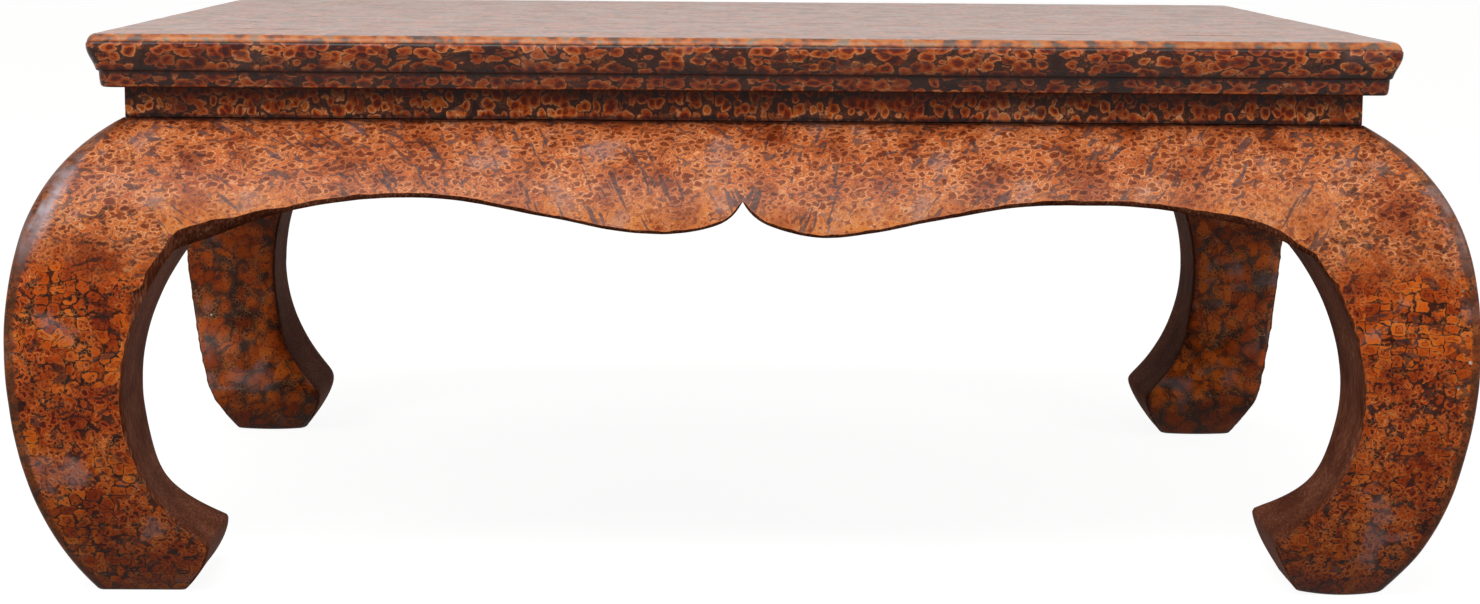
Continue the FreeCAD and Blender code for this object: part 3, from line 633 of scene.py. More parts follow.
def closeUp(name, mesh, merge=0.0):
    # Faces turned outwards, smooth but for the arrises
    work = bmesh.new()
    work.from_mesh(mesh)
    if merge:
        bmesh.ops.remove_doubles(work, verts=work.verts, dist=merge)
    bmesh.ops.recalc_face_normals(work, faces=work.faces)
    work.to_mesh(mesh)
    work.free()
    mesh.shade_smooth()
    mesh.set_sharp_from_angle(angle=math.radians(table["sharpAngle"]))
    made = bpy.data.objects.new(name, mesh)
    scene.collection.objects.link(made)
    return made


def finishMesh(name, slotName, spots, faces, marks):
    mesh = bpy.data.meshes.new(name)
    mesh.from_pydata([Vector(spot) * mm for spot in spots], [], faces)
    made = closeUp(name, mesh)
    mesh.materials.append(lacquers[slotName])
    for label, values in marks.items():
        if label == "inward":
            mesh.materials.append(lacquers["inside"])
            for face in mesh.polygons:
                face.material_index = sum(values[at] for at in face.vertices) >= len(face.vertices) / 2
        else:
            mesh.attributes.new(label, "FLOAT", "POINT").data.foreach_set("value", values)
    return made


def tube(count, rows, first=0, turned=False):
    # Faces of rows of points joined to a closed tube with both ends capped
    faces = []
    for low in range(first, first + (rows - 1) * count, count):
        high = low + count
        for at in range(count):
            after = (at + 1) % count
            face = (low + at, low + after, high + after, high + at)
            faces.append(face[:1] + face[:0:-1] if turned else face)
    start, end = tuple(range(first, first + count)), tuple(range(high, high + count))
    return faces + ([start, end[::-1]] if turned else [start[::-1], end])


def settle(piece, slotName, *nodes):
    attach(piece, "root")
    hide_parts(*nodes)


def legPlan(low, high, sizes, carve):
    # Plan at one height, from the outer corner round by the arris beside the hollow, the inner corner and
    # the other arris: place, inside coat, back pattern, dark corner coat that is partly painted shade,
    # rubbed arris, painted highlight at the corner
    outer, wide, deep, inner = sizes
    last = len(easeCurve) - 1
    quarterTurn = [math.radians(90 * cut / last) for cut in range(last + 1)]
    corners = (
        [(high - outer + outer * math.cos(turned), high - outer + outer * math.sin(turned))
         for turned in quarterTurn],
        [(low + wide * along, high - deep * back) for back, along in easeCurve],
        [(low + carve + inner - inner * math.sin(turned), low + carve + inner - inner * math.cos(turned))
         for turned in reversed(quarterTurn)],
        [(high - deep * back, low + wide * along) for back, along in reversed(easeCurve)],
    )
    plainSides, behindSides = (0, 1, 0, 0), (0, 0, 1, 0)
    painted = (leg["paintWidth"], leg["paintWidth"] + leg["paintFade"])
    nearRows = ((painted, (leg["wornWidth"],)), ((), ()), ((), ()), ((leg["wornWidth"],), painted))
    ring = []
    for number, corner in enumerate(corners):
        for cut, (across, along) in enumerate(corner):
            share = cut / last
            plain = plainSides[number - 1] + (plainSides[number] - plainSides[number - 1]) * share
            if number in (1, 3) and 0 < cut < last:   # the cut faces take the dark inside coat, partly painted shade
                plain = 1.0
            behind = behindSides[number - 1] + (behindSides[number] - behindSides[number - 1]) * share
            edge = float(number == 0)
            worn = float((number, cut) in ((1, 0), (3, last)))
            ring.append((across, along, plain, behind, edge, worn, edge * within(share * 2 - 0.6)))
        start, end = corner[-1], corners[(number + 1) % 4][0]
        fromStart, fromEnd = nearRows[number]
        length = math.dist(start, end)
        fit = min(length / leg["nearRowsRun"], 1.0) / max(length, 0.001)
        first = [away * fit for away in fromStart]
        final = [1 - away * fit for away in reversed(fromEnd)]
        begin, finish = (first or [0.0])[-1], (final or [1.0])[0]
        middle = [begin + (finish - begin) * cut / (leg["sideCuts"] + 1)
                  for cut in range(1, leg["sideCuts"] + 1)]
        for share in first + middle + final:
            coated = share in (first[:1] if number == 0 else final[-1:] if number == 3 else [])
            # Painted highlight beside the outer corner
            paintedHighlight = {first[0]: 1.0, first[-1]: 0.75}.get(share, 0.0) if number == 0 else 0.0
            ring.append((start[0] + (end[0] - start[0]) * share, start[1] + (end[1] - start[1]) * share,
                         plainSides[number], behindSides[number], float(coated), 0.0, paintedHighlight))
    return ring


def legHeights(soleEase):
    heights = [soleEase * share for share in leg["soleShares"]]
    height = heights[-1] + leg["aboveSole"]
    while height < table["apronTop"] - leg["lastCuts"][0]:
        heights.append(height)
        near = min(abs(height - leg["toeTop"]) / leg["toeFine"],
                   abs(height - table["spring"]) / leg["springFine"])
        height += leg["step"] * (leg["closest"] + (1 - leg["closest"]) * min(near, 1.0))
    heights.append(table["apronTop"] - leg["lastCuts"][1])
    return heights


def hollowCut(height, corner):
    # Width and depth of the cut along the arris beside the hollow; it grows into the apron's cut
    bandHigh = corner["band"][-1][1]
    cutWidth, cutDepth = corner["cut"], bandHigh * apron["bandDepth"]
    above = (height - table["spring"]) / bandHigh
    if above >= 1:
        return leg["leastCut"], leg["leastCut"]
    if above > 0:
        return tuple(max(size, leg["leastCut"])
                     for size in (cutWidth * (1 - above), cutDepth * depthAt(above)))
    below = min((table["spring"] - height) / leg["springCutRun"], 1.0)
    below = below * below * (3 - 2 * below)
    chipped = sum(deep * bell(height, level, high) for level, high, deep in corner["chips"])
    return (cutWidth + (leg["sideArris"] - cutWidth) * below + chipped,
            cutDepth + (leg["sideArris"] - cutDepth) * below)


def buildLeg(name, handX, handY, soleEase, soleCurve, toeTip, toeBulge, soft):
    corner = legCorners[name]

    def onTable(across, along, height):
        return Vector((handX * (table["halfLength"] + across), handY * (table["halfDepth"] + along),
                       height))

    def shaped(across, along, height):
        # The sole may be worn to a curve
        lift = soleCurve * (across - leg["soleMiddle"]) ** 2
        height += lift * max(1 - height / leg["toeTop"], 0.0) ** 2
        spot = onTable(across, along, height)
        moved = handShaped(spot)
        moved.z = spot.z
        return moved

    spots = []
    marks = {"inward": [], "behind": [], "arris": [], "worn": [], "paintedHighlight": []}
    heights = legHeights(soleEase)
    for height in heights:
        rise = max(soleEase - height, 0.0)
        ease = soleEase - math.sqrt(max(soleEase * soleEase - rise * rise, 0.0))
        low = innerAt(height, toeTip, toeBulge) + ease
        high = outerAt(height) - ease
        limit = (high - low) * leg["widestCut"]
        wide, deep = hollowCut(height, corner)
        outer = leg["outerArris"] + soft * bell(height, leg["softHeight"], leg["softSpread"])
        sizes = [min(size, limit) for size in (outer, wide, deep, leg["innerArris"])]
        carve = leg["carve"] * bell(height, leg["carveHeight"], leg["carveRun"])
        wobble = leg["arrisWobble"] * within((table["spring"] - height) / leg["wobbleFade"])
        rubbed = within((table["spring"] - height) / leg["wornFade"])
        # Strength of the painted highlight at this height
        pale = min(soft / leg["fullySoft"], 1.0) * bell(height, leg["softHeight"], leg["paintedHighlightSpread"])
        for across, along, plain, behind, edge, worn, paintedHighlight in legPlan(low, high, sizes, carve):
            spot = shaped(across, along, height)
            if worn:
                keep = spot.z
                spot += noise.noise_vector(spot / leg["wobbleLength"]) * wobble
                spot.z = keep
            spots.append(spot)
            for mark, value in (("inward", plain), ("behind", behind), ("arris", edge),
                                ("worn", worn * rubbed), ("paintedHighlight", paintedHighlight * pale)):
                marks[mark].append(float(value))
    faces = tube(len(spots) // len(heights), len(heights))

    # Block behind the aprons, and the post that carries the top frame
    low, postHigh = leg["post"]
    levels = [leg["blockFoot"], (table["apronTop"], postHigh), (table["frameUnder"], postHigh)]
    first = len(spots)
    for height, high in levels:
        for across, along in ((high, high), (low, high), (low, low), (high, low)):
            spots.append(onTable(across, along, height))
            for mark in marks:
                marks[mark].append(float(mark == "inward"))
    faces += tube(4, len(levels), first)
    return finishMesh(name, "leg_lacquer", spots, faces, marks)


apron = {
    "archDrop": 58.0,
    "lobeDrop": 84.5,
    "notchDrop": 59.3,
    "notchShift": -2.4,
    "notchDip": (5.4, 5.2),    # the flanks of the notch hang lower than a plain arc
    "notchDipRun": 14.0,
    # Uneven sawing: place and width as shares, and depth
    "handCut": [(-0.93, 0.05, 2.5), (-0.389, 0.097, 3.2), (0.136, 0.068, 2.0), (0.389, 0.0875, 3.2),
                (0.563, 0.1165, 3.0), (0.90, 0.06, -3.5)],
    "archShare": 0.5828,
    "lobeShare": 0.1583,
    "swingShare": 0.30,
    "backTop": -42.0,
    "backEase": 1.2,
    "edgeRounds": 12,          # rounds that settle the edge's height on the slanting joint
    "band": [(0.0, 2.6), (0.3, 3.0), (0.6, 4.2), (0.8, 4.4)],   # cut along the lower edge
    "bandDepth": 0.7,
    "easeCuts": 4,
    "easeFlatness": 0.65,      # 0 would make that cut a quarter round
    "bandWave": 0.9,
    "bandWaveLength": 9.0,
    "bandFade": 14.0,          # the wave dies away towards the legs
    "notchBand": 0.6,          # the cut narrows into the notch
    "notchBandRise": 0.9,
    "notchColumns": [0.0, 1.0, 2.2, 3.6, 5.4, 7.6, 10.0],
    "step": 4.0,
    "lastGap": 1.0,            # least distance of the last column from the leg
    "faceCuts": 22,
    "backCuts": 5,
}

# Nearly flat cut with eased sides: share of its depth and of its height
easeCurve = []
for cut in range(apron["easeCuts"] + 1):
    along, flat = cut / apron["easeCuts"], apron["easeFlatness"]
    turned = math.radians(90 * along)
    easeCurve.append((flat * along + (1 - flat) * (1 - math.cos(turned)),
                      flat * (1 - along) + (1 - flat) * (1 - math.sin(turned))))


def depthAt(rise):
    # Depth share of that cut at a share of its height
    for (back, up), (nextBack, nextUp) in zip(easeCurve, easeCurve[1:]):
        if rise >= nextUp:
            return back + (nextBack - back) * (up - rise) / (up - nextUp)
    return 1.0


def bandAt(share, corner):
    steps = apron["band"] + corner["band"]
    for (start, low), (end, high) in zip(steps, steps[1:]):
        if share <= end:
            return low + (high - low) * (share - start) / (end - start)
    return steps[-1][1]


# Each corner's cut where leg and aprons meet: its height along the apron, its width on the leg, and
# chips in the arris below (height, half height, depth)
legCorners = {
    "legFrontLeft": {"band": [(0.88, 7.2), (0.92, 12.0), (0.97, 13.5), (1.0, 7.5)], "cut": 9.0,
                     "chips": [(255.0, 3.4, 7.0), (272.0, 3.0, 2.5)]},
    "legFrontRight": {"band": [(0.88, 5.6), (0.94, 5.6), (1.0, 3.0)], "cut": 2.5,
                      "chips": [(268.0, 3.0, 3.0)]},
    "legBackRight": {"band": [(0.90, 6.0), (0.96, 6.4), (1.0, 4.0)], "cut": 4.0,
                     "chips": [(243.0, 3.2, 2.5)]},
    "legBackLeft": {"band": [(0.90, 6.0), (0.96, 7.0), (1.0, 5.0)], "cut": 4.5,
                    "chips": [(262.0, 3.0, 3.0)]},
}
# Node, hands, easing and curve of the sole, toe tip, bulge of the toe's end, softer shoulder
legPlaces = {
    "legFrontLeft": ("leg_front_left", -1, -1, 1.4, 0.0, (-85.5, 44.0, 2.0), 4.5, 8.0),
    "legFrontRight": ("leg_front_right", 1, -1, 2.0, 0.0028, (-87.5, 54.0, 4.0), 1.5, 3.0),   # worn round
    "legBackLeft": ("leg_back_left", -1, 1, 2.0, 0.0012, (-84.0, 46.0, 12.0), 3.0, 2.0),
    "legBackRight": ("leg_back_right", 1, 1, 2.0, 0.0008, (-86.0, 46.0, 7.0), 2.5, 2.0),
}
for pieceName, (nodeName, *shape) in legPlaces.items():
    settle(buildLeg(pieceName, *shape), "leg_lacquer", nodeName)
print("stage: legs")


def buildApron(name, run, half, turn, start, end):
    # Drawn as the front apron, along x and bulging towards -y, then turned about the middle
    opening = run - table["springSetback"]
    top = table["apronTop"]
    arch = (opening * apron["archShare"], top - apron["archDrop"])
    lobe = (opening * apron["lobeShare"], top - apron["lobeDrop"])
    swing = tuple(a + (b - a) * apron["swingShare"] for a, b in zip(lobe, arch))
    notch = (0.0, top - apron["notchDrop"])
    spring = (opening, table["spring"])

    def hung(along, peak, far):
        # Arc that is level at its top, peak
        radius = ((far[0] - peak[0]) ** 2 + (far[1] - peak[1]) ** 2) / (2 * abs(peak[1] - far[1]))
        drop = radius - math.sqrt(max(radius * radius - (along - peak[0]) ** 2, 0))
        return peak[1] + (drop if far[1] > peak[1] else -drop)

    def plainEdge(along):
        if along > arch[0]:
            return hung(along, arch, spring)
        if along > swing[0]:
            return hung(along, arch, swing)
        return hung(along, lobe, swing if along > lobe[0] else notch)

    def lowerEdge(place):
        shifted = place - apron["notchShift"] * max(1 - abs(place) / lobe[0], 0.0)
        along = min(abs(shifted), opening)
        dip = along / apron["notchDipRun"]
        uneven = sum(depth * bell(place / opening, middle, wide)
                     for middle, wide, depth in apron["handCut"])
        return plainEdge(along) - uneven - apron["notchDip"][shifted > 0] * dip * math.exp(1 - dip)

    def backAt(height):
        footHeight, foot = leg["blockFoot"]
        share = (top - height) / (top - footHeight)
        return apron["backTop"] + share * (foot - apron["backTop"])

    reach = run - table["shoulderSetback"]
    middle = apron["notchShift"]
    columns = list(apron["notchColumns"])
    while columns[-1] + apron["step"] < reach - apron["lastGap"] - abs(middle):
        columns.append(columns[-1] + apron["step"])
    shares = [(middle - along) / reach for along in reversed(columns)][:-1]
    shares = [-1.0] + shares + [(middle + along) / reach for along in columns] + [1.0]

    spots = []
    marks = {"inward": [], "worn": []}
    turnBy = Matrix.Rotation(turn, 3, "Z")
    for share in shares:
        height = top - apron["notchDrop"]
        for _ in range(apron["edgeRounds"]):
            height = lowerEdge(share * (run + mitreAt(height)))
        along = abs(share * (run + mitreAt(height)) - middle)
        band = bandAt(min(along / opening, 1.0), legCorners[end if share > 0 else start])
        wave = noise.noise(Vector((share * reach / apron["bandWaveLength"], half / 50, turn)))
        band += wave * apron["bandWave"] * min((1 - abs(share)) * reach / apron["bandFade"], 1.0)
        band = min(band, apron["notchBand"] + along * apron["notchBandRise"])
        loop = []
        for cut in range(apron["faceCuts"] + 1):
            level = top + (height + band + leg["wornWidth"] - top) * cut / apron["faceCuts"]
            loop.append((outerAt(level), level, 0.0, 0.0))
        face = outerAt(height + band)
        rubbed = min((1 - abs(share)) * reach / leg["wornFade"], 1.0)
        loop.append((face, height + band, 0.0, rubbed))
        depth = band * apron["bandDepth"]
        for back, up in easeCurve[1:]:
            loop.append((face - depth * back, height + band * up, 1.0, 0.0))
        back = backAt(height)
        loop.append(((face - depth + back) / 2, height, 1.0, 0.0))
        foot = height + apron["backEase"]
        loop.append((back + apron["backEase"], height, 1.0, 0.0))
        loop.append((backAt(foot), foot, 1.0, 0.0))
        for cut in range(1, apron["backCuts"] + 1):
            level = foot + (top - foot) * cut / apron["backCuts"]
            loop.append((backAt(level), level, 1.0, 0.0))
        loop.append(((apron["backTop"] - table["shoulderSetback"]) / 2, top, 0.5, 0.0))
        for offset, level, plain, worn in loop:
            spot = turnBy @ Vector((share * (run + min(mitreAt(level), offset)), -(half + offset), level))
            moved = handShaped(spot)
            if level >= top - 0.01:
                moved.z = spot.z
            spots.append(moved)
            marks["inward"].append(plain)
            marks["worn"].append(worn)
    faces = tube(len(spots) // len(shares), len(shares), turned=True)
    return finishMesh(name, "apron_lacquer", spots, faces, marks)


quarter = math.pi / 2
meeting = {   # legs at the start and end of each side's apron
    "front": ("legFrontLeft", "legFrontRight"), "right": ("legFrontRight", "legBackRight"),
    "back": ("legBackRight", "legBackLeft"), "left": ("legBackLeft", "legFrontLeft"),
}
sides = {   # name ending: half run along the side, half distance to the other side, turn
    "front": (table["halfLength"], table["halfDepth"], 0.0),
    "right": (table["halfDepth"], table["halfLength"], quarter),
    "back": (table["halfLength"], table["halfDepth"], quarter * 2),
    "left": (table["halfDepth"], table["halfLength"], quarter * 3),
}
for ending, (run, half, turn) in sides.items():
    settle(buildApron("apron" + ending.title(), run, half, turn, *meeting[ending]), "apron_lacquer",
           "apron_" + ending)
print("stage: aprons")


def newGroup(name, geometry, *labels):
    # A tree with the inputs named: a geometry, numbers, and the finish
    tree = bpy.data.node_groups.new(name, "GeometryNodeTree")
    kinds = {geometry: "Geometry", "Cuts": "Int", "Finish": "Material"}
    for label in (geometry, *labels, "Finish"):
        kind = "NodeSocket" + kinds.get(label, "Float")
        tree.interface.new_socket(label, in_out="INPUT", socket_type=kind)
    tree.interface.new_socket("Geometry", in_out="OUTPUT", socket_type="NodeSocketGeometry")
    node = partial(add, tree)
    return node, node("NodeGroupInput").outputs


def closeGroup(node, given, geometry):
    whole = node("GeometryNodeRealizeInstances", {"Geometry": geometry})
    done = node("GeometryNodeSetMaterial", {"Geometry": whole, "Material": given["Finish"]})
    return node("NodeGroupOutput", {"Geometry": done}).id_data


sweepShape = {
    "closerEnds": 0.6,         # how much closer the cuts stand at the ends
    "roundRange": (-0.02, -0.004),   # metres; the corner is rounded only near the outside
    "leastRadius": 0.00001,    # keeps a square corner from being divided by nothing
    "swellScale": 14.0,
}


def sweepTree():
    # Closed profile swept along a straight side, mitred at both ends and rounded at the corner
    node, given = newGroup("mitredMoulding", "Profile", "Half Run", "Half Distance", "Cuts", "Start Round",
                           "End Round", "Handwork", "Turn")
    way = node("GeometryNodeCurvePrimitiveLine", {"Start": (-1, 0, 0), "End": (1, 0, 0)})
    way = node("GeometryNodeResampleCurve", {"Curve": way, "Count": given["Cuts"]})
    outline = node("GeometryNodeMeshToCurve", {"Mesh": given["Profile"]})
    swept = node("GeometryNodeCurveToMesh", {"Curve": way, "Profile Curve": outline, "Fill Caps": True})
    x, y, z = node("SeparateXYZ", {"Vector": node("GeometryNodeInputPosition")}).outputs
    # Closer cuts towards the ends
    bent = node("Math SINE", [node("Math MULTIPLY", [x, quarter])])
    bent = node("Mix", {0: sweepShape["closerEnds"], 2: x, 3: bent}, data_type="FLOAT")
    outward = node("Math MULTIPLY", [node("Math ADD", [y, given["Half Distance"]]), -1.0])
    limit = node("Math ADD", [given["Half Run"], outward])
    # Rounding only near the outside
    near = node("MapRange", [outward, *sweepShape["roundRange"]])
    later = node("Math GREATER_THAN", [x, 0.0])
    radius = node("Mix", {0: later, 2: given["Start Round"], 3: given["End Round"]}, data_type="FLOAT")
    radius = node("Math ADD", [node("Math MULTIPLY", [radius, near]), sweepShape["leastRadius"]])
    along = node("Math MULTIPLY", [bent, limit])
    size = node("Math ABSOLUTE", [along])
    hand = node("Math SIGN", [along])
    start = node("Math SUBTRACT", [limit, radius])
    angle = node("Math DIVIDE", [node("Math SUBTRACT", [size, start]), radius])
    angle = node("Math MAXIMUM", [node("Math MULTIPLY", [angle, quarter / 2]), 0.0])
    rise = node("Math SINE", [angle])
    fall = node("Math COSINE", [angle])
    reach = node("Math MULTIPLY_ADD", [rise, radius, start])
    kept = node("Math MULTIPLY", [node("Math MINIMUM", [size, reach]), hand])
    inset = node("Math MULTIPLY_ADD", [node("Math SUBTRACT", [1.0, fall]), radius, y])
    spot = node("CombineXYZ", [kept, inset, z])
    mitred = node("GeometryNodeSetPosition", {"Geometry": swept, "Position": spot})
    turnBy = node("CombineXYZ", {"Z": given["Turn"]})
    turned = node("GeometryNodeTransform", {"Geometry": mitred, "Rotation": turnBy})
    # Hand-worked faces
    here = node("GeometryNodeInputPosition")
    swell = node("TexNoise", {"Vector": here, "Scale": sweepShape["swellScale"], "Detail": 2.0})
    swell = node("VectorMath SUBTRACT", [swell.outputs["Color"], (0.5, 0.5, 0.5)])
    swell = node("VectorMath SCALE", {0: swell, "Scale": given["Handwork"]})
    worked = node("GeometryNodeSetPosition", {"Geometry": turned, "Offset": swell})
    return closeGroup(node, given, worked)


def runTree(name, tree, startMesh, inputs):
    # Evaluates a tree on a mesh and returns the plain result
    carrier = bpy.data.objects.new(name + "Start", startMesh)
    scene.collection.objects.link(carrier)
    step = carrier.modifiers.new("build", "NODES")
    step.node_group = tree
    identifiers = {item.name: item.identifier for item in tree.interface.items_tree
                   if item.in_out == "INPUT"}
    for label, value in inputs.items():
        step[identifiers[label]] = value
    ready = carrier.evaluated_get(bpy.context.evaluated_depsgraph_get())
    mesh = bpy.data.meshes.new_from_object(ready)
    mesh.name = name
    carrier.modifiers.remove(step)
    bpy.data.objects.remove(carrier)
    return closeUp(name, mesh, merge=table["merge"] * mm)


moulding = {
    "inner": -90.0,
    "flat": [-60.0, -30.0, -12.0, -5.0, -0.5],
    # Points of the profile: offset, and depth below the top
    "edge": [(4.0, 0.0), (5.8, 0.3), (7.4, 1.1), (8.7, 2.5), (9.7, 4.1), (10.2, 5.5)],
    "line": [(10.25, 6.1), (10.4, 6.7), (10.8, 7.3), (11.2, 8.4)],
    "face": [(11.1, 11.0), (10.7, 13.4), (9.9, 16.2), (8.8, 19.0), (7.5, 21.8), (6.3, 24.6), (5.4, 27.2),
             (4.9, 29.0)],
    "step": [(4.4, 29.8), (3.3, 30.3), (2.9, 31.2)],
    "ledge": [(2.8, 34.0), (2.5, 38.0), (2.0, 41.6), (1.4, 42.7), (0.4, 43.4), (-2.0, 43.6)],
    "lipBack": -13.6,
    "underMiddle": -34.0,
    "cornerRounds": {"front": (9.0, 5.0), "right": (5.0, 6.0), "back": (6.0, 7.0), "left": (7.0, 9.0)},
    "cuts": {"stile": 200, "rail": 150},
    "handwork": 0.9,
}


def mouldingProfile():
    # Offset and height, from the inner top edge outwards and down
    top, under = table["height"], table["frameUnder"]
    points = [(offset, top) for offset in (moulding["inner"], *moulding["flat"])]
    for part in ("edge", "line", "face", "step", "ledge"):
        points += [(offset, top - depth) for offset, depth in moulding[part]]
    back = moulding["lipBack"]
    lip = [(0.5, points[-1][1]), (0.0, under - 0.6), (-0.4, under)]   # eased back of the lip
    return points + [(back + shift, height) for shift, height in lip] + [
        (moulding["underMiddle"], under), (moulding["inner"], under)]


waist = {"face": -15.2, "thickness": 18.0, "ease": 0.8, "cornerRounds": (1.5, 1.5), "cuts": 120,
         "handwork": 0.7}


def waistProfile():
    face, back = waist["face"], waist["face"] - waist["thickness"]
    low, high, ease = table["apronTop"], table["frameUnder"], waist["ease"]
    return [(back, high), (face - ease, high), (face, high - ease), (face, (low + high) / 2),
            (face, low + ease), (face - ease, low), (back, low)]


def profileMesh(name, points, half):
    # Laid out so that the sweep stands it upright with its outside towards -y
    mesh = bpy.data.meshes.new(name)
    spots = [((half + offset) * mm, -height * mm, 0) for offset, height in points]
    mesh.from_pydata(spots, [(at, (at + 1) % len(spots)) for at in range(len(spots))], [])
    return mesh


sweep = sweepTree()
for ending, (run, half, turn) in sides.items():
    bar = "stile" if ending in ("front", "back") else "rail"
    for pieceName, nodeName, slotName, profile, cuts, rounds, handwork in (
            ("frame" + bar.title() + ending.title(), "frame_" + bar + "_" + ending, "frame_lacquer",
             mouldingProfile(), moulding["cuts"][bar], moulding["cornerRounds"][ending],
             moulding["handwork"]),
            ("waist" + ending.title(), "waist_" + ending, "waist_lacquer", waistProfile(), waist["cuts"],
             waist["cornerRounds"], waist["handwork"])):
        settle(runTree(pieceName, sweep, profileMesh(pieceName, profile, half), {
            "Half Run": run * mm, "Half Distance": half * mm, "Turn": turn, "Cuts": cuts,
            "Start Round": rounds[0] * mm, "End Round": rounds[1] * mm, "Handwork": handwork * mm,
            "Finish": lacquers[slotName]}), slotName, nodeName)
print("stage: top frame and waist")


panel = {"halfLength": 430.0, "halfDepth": 285.0, "thickness": 18.0, "step": 10.0, "swell": 0.25,
         "swellLength": 60.0}


def buildBoard(name, nodeName, low, high):
    top, under = table["height"], table["height"] - panel["thickness"]
    acrossCuts = round(panel["halfLength"] * 2 / panel["step"])
    alongCuts = round((high - low) / panel["step"])
    spots, faces, inward = [], [], []
    for level in (top, under):
        for row in range(alongCuts + 1):
            for at in range(acrossCuts + 1):
                spot = Vector((-panel["halfLength"] + at * panel["halfLength"] * 2 / acrossCuts,
                               low + row * (high - low) / alongCuts, level))
                edge = at in (0, acrossCuts) or row in (0, alongCuts)
                if level == top and not edge:
                    spot.z += noise.noise(spot / panel["swellLength"]) * panel["swell"] - panel["swell"] / 2
                spots.append(spot)
                inward.append(0.0 if level == top else 1.0)
    wide = acrossCuts + 1
    layer = wide * (alongCuts + 1)
    for row in range(alongCuts):
        for at in range(acrossCuts):
            corner = row * wide + at
            faces.append((corner, corner + 1, corner + 1 + wide, corner + wide))
            corner += layer
            faces.append((corner, corner + wide, corner + 1 + wide, corner + 1))
    rim = ([at for at in range(wide)] + [row * wide + wide - 1 for row in range(1, alongCuts + 1)]
           + [alongCuts * wide + at for at in range(wide - 2, -1, -1)]
           + [row * wide for row in range(alongCuts - 1, 0, -1)])
    for number, corner in enumerate(rim):
        after = rim[(number + 1) % len(rim)]
        faces.append((corner, corner + layer, after + layer, after))
    piece = finishMesh(name, "panel_lacquer", spots, faces, {"inward": inward})
    settle(piece, "panel_lacquer", nodeName)


third = panel["halfDepth"] * 2 / 3
for number, place in enumerate(("front", "middle", "back")):
    start = -panel["halfDepth"] + third * number
    buildBoard("panelBoard" + place.title(), "panel_board_" + place, start, start + third)
print("stage: panel")

batten = {
    "share": 0.32,             # outer battens' place as a share of the opening's length
    "width": 36.0,
    "depth": 20.0,
    "tenonWidth": 20.0,
    "tenonThickness": 11.0,
    "tenonReach": 14.0,
    "chamfer": 2.2,
    "chamferBend": 0.4,        # below 0.5 it bulges
    "tenonChamfer": 1.0,
    "cuts": 40,
}


def buildBatten(name, nodeName, place):
    top = table["height"] - panel["thickness"]
    half, cut = batten["width"] / 2, batten["chamfer"]
    bend = cut * batten["chamferBend"]
    low = top - batten["depth"]
    bar = [(half, top), (half, low + cut), (half - bend, low + bend), (half - cut, low)]
    bar += [(-across, level) for across, level in reversed(bar)]
    wide, middle = batten["tenonWidth"] / 2, (low + top) / 2
    thin, ease = batten["tenonThickness"] / 2, batten["tenonChamfer"]
    tenon = [(wide, middle + thin), (wide, middle), (wide, middle - thin + ease),
             (wide - ease, middle - thin)]
    tenon += [(-across, level) for across, level in reversed(tenon)]
    shoulder = panel["halfDepth"]
    end = shoulder + batten["tenonReach"]
    rings = [(-end, tenon), (-shoulder, tenon)]
    rings += [(-shoulder + 2 * shoulder * step / batten["cuts"], bar) for step in range(batten["cuts"] + 1)]
    rings += [(shoulder, tenon), (end, tenon)]
    spots = []
    for along, outline in rings:
        for across, level in outline:
            spot = handShaped(Vector((place + across, along, level)))
            if level > top - 0.01:
                spot.z = level
            spots.append(spot)
    settle(finishMesh(name, "underside_lacquer", spots, tube(len(bar), len(rings), turned=True), {}),
           "underside_lacquer", nodeName)


for ending, hand in (("left", -1), ("middle", 0), ("right", 1)):
    buildBatten("batten" + ending.title(), "batten_" + ending,
                panel["halfLength"] * 2 * batten["share"] * hand)
print("stage: battens")

pins = {
    "diameter": 8.0,
    "ease": 0.8,
    "sides": 16,
    "endScale": 0.8,
    "longShares": (-0.72, -0.26, 0.26, 0.72),   # places along the front and back, and along the ends
    "shortShares": (-0.6, 0.0, 0.6),
    "dowelFoot": 376.0,
    "dowelTop": 426.4,
    "pegSetback": (26.0, 48.0),    # from the ends and from the front
    "pegTop": 450.0,
}


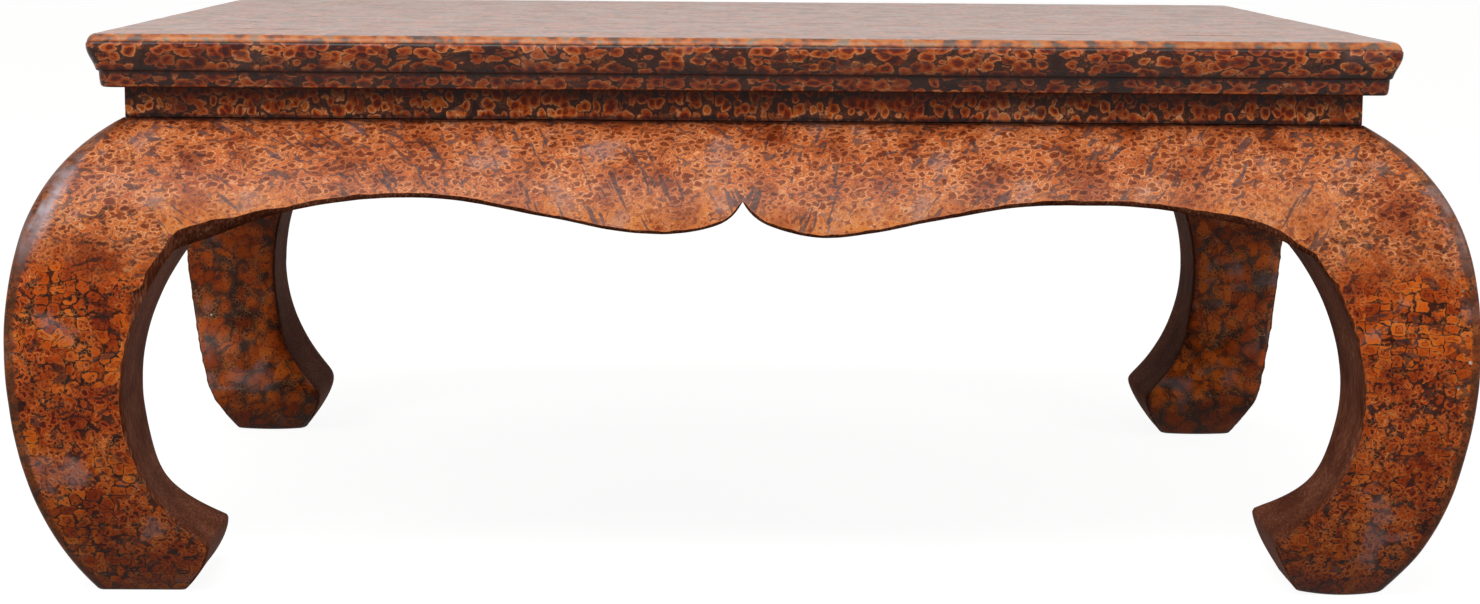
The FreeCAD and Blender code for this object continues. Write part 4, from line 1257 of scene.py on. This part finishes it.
def pinTree():
    # Round wooden pins with eased ends, one standing on each point
    node, given = newGroup("pinsOnPoints", "Points", "Diameter", "Length", "Ease")
    radius = node("Math MULTIPLY", [given["Diameter"], 0.5])
    body = node("Math MULTIPLY_ADD", [given["Ease"], -2.0, given["Length"]])
    shaft = node("GeometryNodeMeshCylinder", {"Vertices": pins["sides"], "Radius": radius, "Depth": body})
    ends = node("FunctionNodeBooleanMath OR", [shaft.outputs["Top"], shaft.outputs["Bottom"]])
    drawn = node("GeometryNodeExtrudeMesh", {"Mesh": shaft.outputs["Mesh"], "Selection": ends,
        "Offset Scale": given["Ease"]})
    eased = node("GeometryNodeScaleElements", {"Geometry": drawn.outputs["Mesh"],
        "Selection": drawn.outputs["Top"], "Scale": pins["endScale"]})
    up = node("CombineXYZ", {"Z": node("Math MULTIPLY", [given["Length"], 0.5])})
    stood = node("GeometryNodeTransform", {"Geometry": eased, "Translation": up})
    placed = node("GeometryNodeInstanceOnPoints", {"Points": given["Points"], "Instance": stood})
    return closeGroup(node, given, placed)


onPoints = pinTree()


def buildPins(name, nodeName, places, foot, top):
    mesh = bpy.data.meshes.new(name)
    mesh.from_pydata([(across * mm, along * mm, foot * mm) for across, along in places], [], [])
    piece = runTree(name, onPoints, mesh, {
        "Diameter": pins["diameter"] * mm, "Length": (top - foot) * mm, "Ease": pins["ease"] * mm,
        "Finish": lacquers["dowel_wood"]})
    settle(piece, "dowel_wood", nodeName)


inset = -waist["face"] + waist["thickness"] / 2
for ending, (run, half, turn) in sides.items():
    shares = pins["longShares" if ending in ("front", "back") else "shortShares"]
    spin = Matrix.Rotation(turn, 3, "Z")
    rows = [spin @ Vector((run * share, -(half - inset), 0)) for share in shares]
    buildPins("waistDowels" + ending.title(), "waist_dowels_" + ending, [spot[:2] for spot in rows],
              pins["dowelFoot"], pins["dowelTop"])
endSetback, sideSetback = pins["pegSetback"]
buildPins("framePegs", "frame_pegs",
          [(handX * (table["halfLength"] - endSetback), handY * (table["halfDepth"] - sideSetback))
           for handX in (-1, 1) for handY in (-1, 1)], table["frameUnder"], pins["pegTop"])
print("stage: pins")
